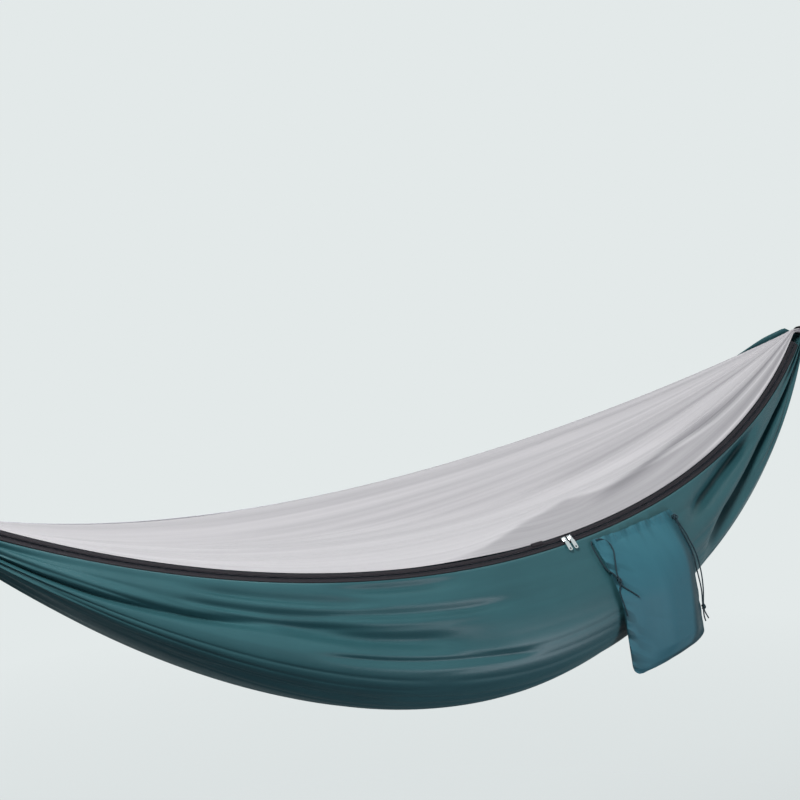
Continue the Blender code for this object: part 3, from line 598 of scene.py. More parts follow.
def declare(obj: bpy.types.Object, body: str, node: str | None = None) -> None:
    """Say what a piece belongs to.

    Args:
        obj: the piece.
        body: the body that it rides on.
        node: the CAD node that it replaces, if any.
    """
    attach(obj, body)
    if node:
        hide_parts(node)


def keep_values(mesh: bpy.types.Mesh, name: str, values: np.ndarray) -> None:
    """Store one number at each point of a mesh, for its material to read."""
    layer = mesh.attributes.new(name, "FLOAT", "POINT")
    layer.data.foreach_set("value", values.ravel())


def stations(half: float, count: int) -> np.ndarray:
    """Places from -half to half, closer together towards both ends."""
    return half * np.sin(1.15 * np.linspace(-1.0, 1.0, count)) / math.sin(1.15)


def grid_mesh(name: str, points: np.ndarray, uv: np.ndarray) -> bpy.types.Mesh:
    """A sheet from a grid of points.

    Args:
        name: the mesh's name.
        points: rows by columns of x, y, z in the row frame.
        uv: rows by columns of the two UV values.

    Returns:
        The mesh, with its UV map.
    """
    rows, columns = points.shape[:2]
    index = np.arange(rows * columns).reshape(rows, columns)
    faces = np.stack([index[:-1, :-1], index[:-1, 1:], index[1:, 1:], index[1:, :-1]], axis=-1)
    mesh = bpy.data.meshes.new(name)
    mesh.from_pydata(points.reshape(-1, 3).tolist(), [], faces.reshape(-1, 4).tolist())
    layer = mesh.uv_layers.new(name="cloth")
    loops = np.empty(len(mesh.loops), dtype=np.int64)
    mesh.loops.foreach_get("vertex_index", loops)
    layer.data.foreach_set("uv", uv.reshape(-1, 2)[loops].ravel())
    return mesh


def walked(line: np.ndarray) -> np.ndarray:
    """Distance from a line's first point to each of its points."""
    return np.concatenate([[0.0], np.cumsum(np.linalg.norm(np.diff(line, axis=0), axis=1))])


def walked_uv(points: np.ndarray) -> np.ndarray:
    """UVs in metres over a grid of points.

    Args:
        points: rows by columns of x, y, z.

    Returns:
        The distances walked along its middle row and its middle column.
    """
    lines = points[:, points.shape[1] // 2], points[points.shape[0] // 2]
    return np.stack(np.meshgrid(*(walked(line) for line in lines), indexing="ij"), axis=-1)


def thicken(obj: bpy.types.Object, thickness: float, offset: float) -> None:
    """Give a sheet its thickness, applied to its mesh.

    Args:
        obj: the sheet.
        thickness: its thickness.
        offset: -1 to grow it inwards, 0 to both sides.
    """
    bpy.ops.object.select_all(action="DESELECT")
    obj.select_set(True)
    bpy.context.view_layer.objects.active = obj
    modifier = obj.modifiers.new("thickness", "SOLIDIFY")
    modifier.thickness = thickness
    modifier.offset = offset
    modifier.use_even_offset = False
    bpy.ops.object.modifier_apply(modifier=modifier.name)


def tube_mesh(name: str, points: Points, radius: float, sides: int) -> bpy.types.Mesh:
    """A closed round tube along points, with UVs of turn and metres along.

    Args:
        name: the mesh's name.
        points: its centreline in the row frame.
        radius: its radius.
        sides: points round the tube.

    Returns:
        The mesh.
    """
    lengths = np.cumsum([0.0] + [(b - a).length for a, b in zip(points, points[1:])])
    bm = bmesh.new()
    layer = bm.loops.layers.uv.new("cord")
    first = (points[1] - points[0]).orthogonal().normalized()
    rings = []
    for k, point in enumerate(points):
        along = (points[min(k + 1, len(points) - 1)] - points[max(k - 1, 0)]).normalized()
        first = (first - along * first.dot(along)).normalized()
        second = along.cross(first)
        rings.append([bm.verts.new(point + (first * math.cos(a) + second * math.sin(a)) * radius)
                      for a in np.linspace(0.0, 2 * math.pi, sides, endpoint=False)])
    for k in range(len(rings) - 1):
        for i in range(sides):
            j = (i + 1) % sides
            face = bm.faces.new((rings[k][i], rings[k][j], rings[k + 1][j], rings[k + 1][i]))
            for loop, (turn, row) in zip(face.loops, ((i, k), (i + 1, k), (i + 1, k + 1), (i, k + 1))):
                loop[layer].uv = (turn / sides, lengths[row])
    bm.faces.new(list(reversed(rings[0])))
    bm.faces.new(rings[-1])
    mesh = bpy.data.meshes.new(name)
    bm.to_mesh(mesh)
    bm.free()
    return mesh


def smooth_path(points: Iterable[Vector], step: float) -> tuple[Points, float]:
    """Smooth a line by a Catmull-Rom curve through its points.

    Args:
        points: the points that it passes through.
        step: about how far apart the new ones lie.

    Returns:
        The new points, and the curve's length.
    """
    points = list(points)
    padded = [points[0] * 2 - points[1]] + points + [points[-1] * 2 - points[-2]]
    dense: Points = []
    for a, b, c, d in zip(padded, padded[1:], padded[2:], padded[3:]):
        for t in np.linspace(0.0, 1.0, 12, endpoint=False):
            dense.append((b * 2 + (c - a) * t + (a * 2 - b * 5 + c * 4 - d) * t ** 2
                          + (b * 3 - a - c * 3 + d) * t ** 3) / 2)
    dense.append(points[-1])
    return even_path(dense, step)


def even_path(dense: Points, step: float) -> tuple[Points, float]:
    """Space a line's points evenly.

    Args:
        dense: its points, close together.
        step: about how far apart the new ones lie.

    Returns:
        The new points, and the line's length.
    """
    lengths = np.cumsum([0.0] + [(q - p).length for p, q in zip(dense, dense[1:])])
    count = max(4, int(round(lengths[-1] / step)))
    result: Points = []
    for target in np.linspace(0.0, lengths[-1], count + 1):
        k = min(len(dense) - 2, max(0, int(np.searchsorted(lengths, target)) - 1))
        span = max(lengths[k + 1] - lengths[k], 1e-9)
        result.append(dense[k].lerp(dense[k + 1], min(1.0, (target - lengths[k]) / span)))
    return result, float(lengths[-1])


def stretched(size: Triple, slant: float = 0.0) -> bpy.types.Object:
    """Turn the shape just added onto its side, stretch it and slant it.

    Args:
        size: the stretch along each axis.
        slant: the turn about Z that comes last.

    Returns:
        The shape.
    """
    centre = (0.0, 0.0, 0.0)
    bpy.ops.object.mode_set(mode="EDIT")
    bpy.ops.mesh.select_all(action="SELECT")
    bpy.ops.transform.rotate(value=math.pi / 2, orient_axis="Y", center_override=centre)
    bpy.ops.transform.resize(value=size, center_override=centre)
    if slant:
        bpy.ops.transform.rotate(value=slant, orient_axis="Z", center_override=centre)
    bpy.ops.object.mode_set(mode="OBJECT")
    return bpy.context.object


def copies_mesh(name: str, pattern: bpy.types.Object, places: Iterable[Matrix]) -> bpy.types.Mesh:
    """One mesh of many copies of a small modelled shape.

    Args:
        name: the mesh's name.
        pattern: the shape, which is removed.
        places: where each copy goes, in the row frame.

    Returns:
        The mesh of all the copies.
    """
    source = pattern.data
    corners = np.array([vertex.co[:] + (1.0,) for vertex in source.vertices])
    # A sphere's faces come in a new order each run, so they are sorted.
    faces = sorted(tuple(face.vertices) for face in source.polygons)
    vertices, polygons = [], []
    for k, place in enumerate(places):
        vertices.append(corners @ np.array(place).T[:, :3])
        polygons.extend(tuple(i + k * len(corners) for i in face) for face in faces)
    mesh = bpy.data.meshes.new(name)
    mesh.from_pydata(np.concatenate(vertices).tolist(), [], polygons)
    bpy.data.objects.remove(pattern)
    return mesh


def creases(x: np.ndarray, y: np.ndarray, seed: int, power: int) -> np.ndarray:
    """Sharp random creases.

    Args:
        x: first coordinate, in cells of the noise.
        y: second coordinate, in cells of the noise.
        seed: which of the random grids.
        power: how narrow the creases are.

    Returns:
        1 along the creases, falling to 0 between them.
    """
    return (1 - np.abs(value_noise(x, y, seed))) ** power


def hump(offset: np.ndarray, width: np.ndarray | float) -> np.ndarray:
    """1 where the offset is 0, falling to both sides over the width."""
    return np.exp(-(offset / width) ** 2)


@dataclass(frozen=True)
class Groove:
    """A long fold over the cloth: the x and the share across of its points, its half width and depth."""

    path: tuple[tuple[float, float], ...]
    width: float
    deep: float
    fade: float = 0.12

    def depth(self, x: np.ndarray, v: np.ndarray) -> np.ndarray:
        """How deep the fold is, with both its ends running out.

        Args:
            x: places along the hammock.
            v: places across, 0 at the near rim and 1 at the far rim.

        Returns:
            The depth in metres.
        """
        xs, vs = zip(*self.path)
        ends = smoothstep((x - xs[0]) / self.fade) * smoothstep((xs[-1] - x) / self.fade)
        return self.deep * hump(v - np.interp(x, xs, vs), self.width) * ends


@dataclass(frozen=True)
class Lamp:
    """One soft round lamp, placed about the hammock's middle and pointing at it."""

    name: str
    spot: Triple
    power: float
    size: float
    colour: Triple = (1.0, 1.0, 1.0)
    spread: float = math.pi

    def add(self, target: Vector) -> None:
        """Hang the lamp.

        Args:
            target: the point that it lights.
        """
        data = bpy.data.lights.new(self.name, "AREA")
        data.shape = "DISK"
        data.size = self.size
        data.energy = self.power
        data.color = self.colour
        data.spread = self.spread
        lamp = bpy.data.objects.new(self.name, data)
        bpy.context.collection.objects.link(lamp)
        lamp.location = target + Vector(self.spot)
        lamp.rotation_euler = (-Vector(self.spot)).to_track_quat("-Z", "Y").to_euler()


@dataclass
class Studio:
    """Camera at the photograph's angle, the pale floor, the lamps and the world."""

    place: Triple = (-2.2512, -2.9144, 0.9536)
    yaw: float = 0.6362
    pitch: float = -0.2455
    roll: float = -0.0249
    focal_px: float = 1777.0
    frame_px: float = 800.0
    sensor: float = 36.0
    view_end: float = 200.0
    middle_z: float = -0.3
    floor_z: float = -2.2
    floor_size: float = 14.0
    floor_tone: Colour = (0.13, 0.14, 0.15, 1.0)
    floor_seen: Colour = (0.85, 0.9, 0.9, 1.0)
    fade_start: float = 1.6
    fade_rate: float = 0.28
    ground: Colour = screen(227, 233, 233)
    sky: Colour = (0.72, 0.86, 1.0, 1.0)
    sky_strength: float = 0.16
    lamps: tuple[Lamp, ...] = (
        Lamp("key_lamp", (-2.3, -1.7, 3.0), 174.0, 1.1),
        Lamp("top_lamp", (0.4, 1.2, 3.4), 74.0, 2.4),
        Lamp("fill_lamp", (1.3, -2.4, -1.28), 13.5, 1.3, (0.88, 0.91, 1.0), 1.9))

    def camera(self) -> None:
        """Add the camera, fitted to the photograph's outlines."""
        cy, sy = math.cos(self.yaw), math.sin(self.yaw)
        cp, sp = math.cos(self.pitch), math.sin(self.pitch)
        ahead = Vector((sy * cp, cy * cp, sp))
        side = Vector((cy, -sy, 0.0))
        up = side.cross(ahead)
        cr, sr = math.cos(self.roll), math.sin(self.roll)
        axes = [HANG.turned(v) for v in (side * cr + up * sr, up * cr - side * sr, -ahead)]
        data = bpy.data.cameras.new("view")
        data.sensor_width = self.sensor
        data.lens = self.focal_px / self.frame_px * self.sensor
        data.clip_end = self.view_end
        camera = bpy.data.objects.new("view", data)
        bpy.context.collection.objects.link(camera)
        turn = Matrix(axes).transposed().to_4x4()
        camera.matrix_world = Matrix.Translation(HANG.spot(*self.place)) @ turn
        bpy.context.scene.camera = camera

    def floor(self) -> None:
        """Add the pale floor, which fades into the background away from the hammock."""
        bpy.ops.object.select_all(action="DESELECT")
        bpy.ops.mesh.primitive_grid_add(x_subdivisions=8, y_subdivisions=8, size=self.floor_size,
                                        location=(0.0, 0.0, 0.0))
        floor = bpy.context.object
        floor.name = "floor"
        floor.data.transform(Matrix.Translation((-HANG.bearing_x, 0.0, self.floor_z)))
        graph = Graph("pale_floor")
        graph.set(Base_Color=self.floor_tone, Roughness=0.9, Specular_IOR_Level=0.1)
        pale = graph.add("ShaderNodeBsdfDiffuse", None, {"Color": self.floor_seen})
        glow = graph.add("ShaderNodeEmission", None, {"Color": self.ground})
        solid = graph.mix(graph.add("ShaderNodeLightPath").of("Is Camera Ray"),
                          Expr(graph, graph.shader.outputs[0]), graph.mix(0.72, pale, glow))
        centred = graph.add("ShaderNodeMapping", None, {
            "Vector": graph.add("ShaderNodeTexCoord").of("Object"),
            "Location": (HANG.bearing_x, 0.0, -self.floor_z)})
        far = graph.add("ShaderNodeVectorMath", {"operation": "LENGTH"}, {0: centred}).of("Value")
        fade = ((far - self.fade_start) * self.fade_rate).clamped()
        graph.feed(graph.surface, graph.mix(fade, solid, graph.add("ShaderNodeBsdfTransparent")))
        floor.data.materials.append(graph.owner)

    def world(self) -> None:
        """Even soft light, and the pale background for what the camera and reflections see."""
        graph = Graph("studio", world=True)
        graph.set(Color=self.sky, Strength=self.sky_strength)
        seen = graph.add("ShaderNodeBackground", None, {"Color": self.ground})
        rays = graph.add("ShaderNodeLightPath").of("Is Camera Ray")
        shown = rays.larger(rays.of("Is Glossy Ray")).larger(rays.of("Is Transmission Ray"))
        graph.feed(graph.surface, graph.mix(shown, Expr(graph, graph.shader.outputs[0]), seen))
        bpy.context.scene.world = graph.owner

    def build(self) -> None:
        """Set up everything that isn't part of the hammock."""
        self.camera()
        self.floor()
        self.world()
        for lamp in self.lamps:
            lamp.add(Vector((-HANG.bearing_x, 0.0, self.middle_z)))
        bpy.context.scene.view_settings.view_transform = "Standard"
        LOG.info("studio: camera, floor, world and %d lamps", len(self.lamps))


@dataclass
class SackShape:
    """Where the stuff sack and its cords lie, as in the CAD frame, across and down the near side."""

    left: float = 0.158
    width: float = 0.250
    length: float = 0.330
    top_near: float = 0.008
    top_far: float = 0.024
    slant: float = 0.22
    edge: float = 0.0030
    crown: float = 0.016
    thin: float = 0.06
    corner: float = 0.030
    gap: float = 0.0005
    ramp: float = 0.006
    cord_gap: float = 0.0006

    def thickness(self, u: float, s: float) -> float:
        """Thickness of the sack.

        Args:
            u: share of the way across.
            s: share of the way down.

        Returns:
            The thickness in metres.
        """
        down = max(0.0, (s - self.thin) / (1 - self.thin))
        across = min(1.0, max(0.0, u))
        swell = math.sin(math.pi * across) ** 0.6 * math.sin(math.pi * min(1.0, down)) ** 0.6
        return self.edge + self.crown * swell

    def walk(self, x: float, distance: float) -> tuple[np.ndarray, np.ndarray]:
        """Go down the outside of the hammock, and plumb down from where it bulges most.

        Args:
            x: place along the hammock.
            distance: how far to go from the near rim.

        Returns:
            The point reached, and the outward normal there.
        """
        thetas = np.linspace(0.0, math.pi / 2, 181)
        line = HANG.outline(np.full_like(thetas, x), thetas)
        last = int(np.argmin(line[:, 1]))
        lengths = walked(line[:last + 1])
        if distance <= lengths[-1]:
            theta = float(np.interp(distance, lengths, thetas[:last + 1]))
            return HANG.outline(np.array(x), np.array(theta)), HANG.outward(np.array(x), np.array(theta))
        base = line[last] - np.array([0.0, 0.0, distance - lengths[-1]])
        return base, HANG.outward(np.array(x), np.array(thetas[last]))

    def base(self, across: float, down: float) -> tuple[np.ndarray, np.ndarray]:
        """Find a place on the cloth behind the sack.

        Args:
            across: distance from the sack's left edge.
            down: distance from its top.

        Returns:
            The point, and the outward normal there.
        """
        top = self.top_near + (self.top_far - self.top_near) * across / self.width
        return self.walk(self.left + across + down * self.slant, top + down)

    def cover(self, across: float, down: float) -> float:
        """Height above the cloth of what lies under a cord.

        Args:
            across: distance from the sack's left edge.
            down: distance from its top.

        Returns:
            The height, which runs out to nothing beside the sack.
        """
        beside = max(-across, across - self.width, 0.0)
        column = min(10.0, max(0.0, across / self.width * 10.0))
        before = min(9, int(column))
        low, high = (self.thickness((before + k) / 10.0, down / self.length) for k in (0, 1))
        return (self.gap + low + (high - low) * (column - before)) * (1 - smoothstep(beside / self.ramp))

    def cord_point(self, spot: Sequence[float], cord: float) -> Vector:
        """Place of a cord's centre line.

        Args:
            spot: distance across, distance down, and lift off what lies below.
            cord: the cord's diameter.

        Returns:
            The point in the row frame.
        """
        across, down, lift = spot
        point, normal = self.base(across, down)
        height = self.cover(across, down) + self.cord_gap + cord / 2 + lift
        return HANG.spot(*(point + normal * height))


SACK = SackShape()


@dataclass
class Drawcord:
    """The stuff sack's drawcord: its free strands, tails and knots."""

    cord: float = 0.003
    step: float = 0.0022
    routes: dict[str, Route] = field(default_factory=lambda: {
        "drawcord_left_a": [
            (-0.0020, 0.006, -0.0012), (-0.0070, 0.012, 0.0), (-0.0085, 0.034, 0.0),
            (-0.0060, 0.068, 0.0), (0.0030, 0.086, 0.0018), (0.0041, 0.0942, 0.0038)],
        "drawcord_left_b": [
            (0.0080, 0.0055, 0.0), (0.0220, 0.0065, 0.0), (0.0340, 0.017, 0.0), (0.0330, 0.036, 0.0),
            (0.0200, 0.062, 0.0), (0.0090, 0.086, 0.0018), (0.0079, 0.0942, 0.0038)],
        "drawcord_left_tail_a": [
            (0.0041, 0.1035, 0.0038), (0.0041, 0.111, 0.0026), (0.0, 0.125, 0.0),
            (0.0, 0.148, 0.0), (0.0040, 0.178, 0.0)],
        "drawcord_left_tail_b": [
            (0.0079, 0.1035, 0.0038), (0.0079, 0.111, 0.0026), (0.0170, 0.121, 0.0),
            (0.0280, 0.132, 0.0), (0.0410, 0.144, 0.0)],
        "drawcord_right_a": [
            (0.2371, 0.0274, 0.0058), (0.2371, 0.0345, 0.0052), (0.2390, 0.049, 0.0024),
            (0.2430, 0.072, 0.0008), (0.2490, 0.110, 0.0010), (0.2570, 0.162, 0.0040),
            (0.2615, 0.206, 0.0060), (0.2601, 0.239, 0.0060), (0.2601, 0.2465, 0.0060)],
        "drawcord_right_b": [
            (0.2409, 0.0274, 0.0058), (0.2409, 0.0345, 0.0052), (0.2455, 0.049, 0.0030),
            (0.2530, 0.074, 0.0020), (0.2610, 0.110, 0.0030), (0.2680, 0.162, 0.0060),
            (0.2690, 0.206, 0.0060), (0.2639, 0.239, 0.0060), (0.2639, 0.2465, 0.0060)],
        "drawcord_right_tail_a": [
            (0.2601, 0.2555, 0.0060), (0.2601, 0.263, 0.0060), (0.2605, 0.276, 0.0060),
            (0.2640, 0.290, 0.0060)],
        "drawcord_right_tail_b": [
            (0.2639, 0.2555, 0.0060), (0.2639, 0.263, 0.0060), (0.2700, 0.276, 0.0060),
            (0.2765, 0.2885, 0.0060)],
    })
    knots: dict[str, tuple[Sequence[float], float, float]] = field(default_factory=lambda: {
        "drawcord_knot_left": ((0.006, 0.099, 0.0038), 0.0055, 0.0115),
        "drawcord_knot_right": ((0.262, 0.251, 0.0060), 0.0055, 0.0115),
        "drawcord_knot_right_top": ((0.239, 0.022, 0.0058), 0.0075, 0.014),
    })

    def strand(self, node: str, finish: bpy.types.Material) -> None:
        """Args:
            node: the CAD node of the stretch.
            finish: its material.
        """
        dense, _ = smooth_path([Vector(point) for point in self.routes[node]], 0.002)
        points, length = even_path([SACK.cord_point(point, self.cord) for point in dense], self.step)
        name = node + "_braid"
        obj = link_mesh(name, tube_mesh(name, points, self.cord / 2, 12), finish)
        declare(obj, "sack", node)
        LOG.info("%s is %.0f mm long", node, length * 1000)

    def knot(self, node: str, finish: bpy.types.Material) -> None:
        """Tie one knot: a cord wound over and through itself, drawn tight.

        Args:
            node: the CAD node of the knot.
            finish: its material.
        """
        spot, radius, length = self.knots[node]
        centre = SACK.cord_point(spot, self.cord)
        below = (spot[0], spot[1] + length / 2, spot[2])
        ahead = (SACK.cord_point(below, self.cord) - centre).normalized()
        first = Vector((1.0, 0.0, 0.0)).cross(ahead).normalized()
        second = ahead.cross(first)
        points: Points = []
        for t in np.linspace(0.0, 2 * math.pi, 97)[:-1]:
            bulge = (0.62 + 0.38 * math.cos(3 * t)) * (radius - self.cord / 2)
            points.append(centre + first * bulge * math.cos(2 * t) + second * bulge * math.sin(2 * t)
                          + ahead * 0.36 * length * math.sin(3 * t + 0.4))
        points.append(points[0].copy())
        name = node + "_wraps"
        obj = link_mesh(name, tube_mesh(name, points, self.cord / 2, 10), finish)
        declare(obj, "sack", node)

    def build(self) -> None:
        """Make every strand and knot."""
        finish = DRAWCORD.make()
        for node in self.routes:
            self.strand(node, finish)
        for node in self.knots:
            self.knot(node, finish)
        LOG.info("drawcord: %d strands and %d knots", len(self.routes), len(self.knots))


@dataclass
class GatheredEnd:
    """Whipping and rope loop at one end."""

    end: End
    whip_cord: float = 0.004
    whip_turns: int = 6
    whip_pitch: float = 0.0046
    whip_start: float = 0.004
    whip_sides: int = 36
    rope: float = 0.006
    loop_half: float = 0.011
    loop_length: float = 0.085
    gap: float = 0.0004

    def place(self, x: float, y: float, z: float) -> Vector:
        """A point by this end, mirrored for the left one, in the row frame."""
        return HANG.spot(self.end.value * x, y, z)

    def whipping(self, finish: bpy.types.Material) -> None:
        """Wind the black cord round the gather.

        Args:
            finish: its material.
        """
        radius = HANG.neck + self.whip_cord / 2 + self.gap
        points = []
        for k in range(self.whip_sides * self.whip_turns + 1):
            angle = 2 * math.pi * k / self.whip_sides
            x = HANG.half_chord + self.whip_start + self.whip_pitch * k / self.whip_sides
            points.append(self.place(x, radius * math.cos(angle), radius * math.sin(angle)))
        node = "whipping_" + self.end.label
        name = node + "_wound"
        obj = link_mesh(name, tube_mesh(name, points, self.whip_cord / 2, 12), finish)
        declare(obj, "hammock", node)

    def loop(self, finish: bpy.types.Material) -> None:
        """Args:
            finish: its material.
        """
        bow = HANG.bundle_end + self.loop_length - self.loop_half
        start = HANG.bundle_end + self.gap
        line = [self.place(start, -self.loop_half, 0.0)]
        for angle in np.linspace(-math.pi / 2, math.pi / 2, 25):
            line.append(self.place(bow + self.loop_half * math.cos(angle),
                                   self.loop_half * math.sin(angle), 0.0))
        line.append(self.place(start, self.loop_half, 0.0))
        points, length = even_path(line, 0.0025)
        node = "rope_loop_" + self.end.label
        name = node + "_braid"
        obj = link_mesh(name, tube_mesh(name, points, self.rope / 2, 18), finish)
        declare(obj, "hammock", node)

    def build(self) -> None:
        """Make this end's rope work."""
        finish = BLACK_ROPE.make()
        self.whipping(finish)
        self.loop(finish)
        LOG.info("%s gather: whipping and rope loop", self.end.label)


@dataclass
class BodyCloth:
    """The one sheet that carries the sleeper, gathered at both ends."""

    stations: int = 160
    points: int = 268
    thickness: float = 0.0008
    pleats: float = 16.0
    pleat_depth: float = 0.0115
    crease: float = 0.0042
    sharp_crease: float = 0.0030
    broad_wave: float = 0.0085
    ripple: float = 0.0012
    selvage_height: float = 0.022
    selvage_tuck: float = 0.0012
    cut: tuple[float, float] = (1.4, 2.7)
    cut_area: float = 2.55
    grooves: tuple[Groove, ...] = (
        Groove(((-1.13, 0.125), (-1.0, 0.146), (-0.9, 0.138), (-0.8, 0.118), (-0.7, 0.100),
                (-0.6, 0.084), (-0.5, 0.080), (-0.40, 0.090)), 0.015, 0.015),
        Groove(((-0.62, 0.094), (-0.5, 0.098), (-0.44, 0.106), (-0.3, 0.110),
                (-0.18, 0.113)), 0.020, 0.018),
        Groove(((-0.95, 0.10), (-0.7, 0.105), (-0.5, 0.105), (-0.25, 0.115),
                (-0.08, 0.12)), 0.045, 0.011),
        Groove(((-1.13, 0.085), (-0.9, 0.094), (-0.75, 0.082)), 0.022, -0.011),
        Groove(((-0.8, 0.062), (-0.6, 0.062), (-0.42, 0.056), (-0.25, 0.057),
                (-0.05, 0.060)), 0.009, 0.012),
        Groove(((-0.78, 0.026), (-0.53, 0.032), (-0.34, 0.036)), 0.009, 0.010),
        Groove(((-0.50, 0.008), (-0.38, 0.010), (-0.15, 0.010)), 0.011, 0.012),
        Groove(((-0.55, 0.155), (-0.41, 0.158), (-0.2, 0.160), (0.0, 0.165)), 0.010, 0.010),
        Groove(((-0.75, 0.285), (-0.5, 0.29), (-0.32, 0.28)), 0.010, 0.007),
        Groove(((-0.42, 0.265), (-0.28, 0.27), (-0.1, 0.275), (0.1, 0.28), (0.3, 0.30)), 0.010, 0.004),
        Groove(((0.44, 0.066), (0.55, 0.050), (0.64, 0.034), (0.73, 0.024),
                (0.82, 0.017)), 0.022, 0.032),
        Groove(((0.49, 0.182), (0.56, 0.157), (0.62, 0.142), (0.68, 0.130), (0.73, 0.120), (0.8, 0.105),
                (0.9, 0.098), (0.98, 0.103), (1.13, 0.11)), 0.029, 0.035))

    def depth(self, x: np.ndarray, v: np.ndarray) -> np.ndarray:
        """How far the cloth lies inside its outer form, from its pleats and folds.

        Args:
            x: places along the hammock.
            v: places across, 0 at the near rim and 1 at the far rim.

        Returns:
            The depth in metres.
        """
        share = HANG.share(x)
        drift = v + 0.012 * value_noise(x * 1.1 + 9, v * 6, 3)
        near_neck = smoothstep((share - 0.74) / 0.26)
        fade = smoothstep(v / 0.035) * smoothstep((1 - v) / 0.035)
        turns = self.pleats * (drift + 0.010 * value_noise(x * 2.0 + 30, v * 17, 8))
        wave = (0.5 - 0.5 * np.cos(2 * math.pi * turns)) ** 0.8
        depth = self.pleat_depth * near_neck * wave * (0.3 + 0.7 * fade)
        loose = self.crease * creases(x * 1.25 + 5, drift * 15, 11, 3)
        loose = loose + self.sharp_crease * creases(x * 1.9 + 17, drift * 31, 12, 4)
        loose = loose + self.broad_wave * (0.5 + 0.5 * value_noise(x * 1.0 + 3, drift * 8, 13))
        loose = loose + self.ripple * (0.5 + 0.5 * value_noise(x * 2.2 + 8, drift * 44, 14))
        depth = depth + (0.55 + 0.45 * share) * (1 - 0.7 * near_neck) * fade * loose
        sewn = smoothstep(v / 0.012)
        for groove in self.grooves:
            depth = depth + sewn * groove.depth(x, v)
        return depth

    def selvage(self, x: np.ndarray, edge: np.ndarray) -> np.ndarray:
        """The far edge's own hem, which stands above the net beside the gathers.

        Args:
            x: the stations along the hammock.
            edge: the cloth's far edge at those stations.

        Returns:
            Two more columns of points beyond the edge.
        """
        out = np.abs(x)
        rise = smoothstep((out - 0.985) / 0.10) * smoothstep((HANG.half_chord + 0.001 - out) / 0.03)
        height = self.selvage_height * rise - self.selvage_tuck * (1 - rise)
        lean = 0.45 + 0.25 * value_noise(x * 9, x * 0, 31)
        up = np.stack([0 * x, -lean, 1 + 0 * x], axis=-1)
        return np.stack([edge + up * (height * share)[:, None] for share in (0.5, 1.0)], axis=1)

    def build(self) -> None:
        """Make the sheet."""
        tail = np.linspace(HANG.half_chord, HANG.bundle_end, 11)[1:]
        x = np.concatenate([-tail[::-1], stations(HANG.half_chord, self.stations), tail])
        v = np.linspace(0.0, 1.0, self.points)
        grid_x, grid_v = np.meshgrid(x, v, indexing="ij")
        theta = math.pi * grid_v
        points = HANG.outline(grid_x, theta)
        points = points - HANG.outward(grid_x, theta) * self.depth(grid_x, grid_v)[..., None]
        points = HANG.placed(np.concatenate([points, self.selvage(x, points[:, -1])], axis=1))
        mesh = grid_mesh("hammock_body_cloth", points, walked_uv(points))
        obj = link_mesh("hammock_body_cloth", mesh, BODY_NYLON.make())
        thicken(obj, self.thickness, -1.0)
        declare(obj, "hammock", "hammock_body")
        LOG.info("body cloth: %d faces", len(mesh.polygons))


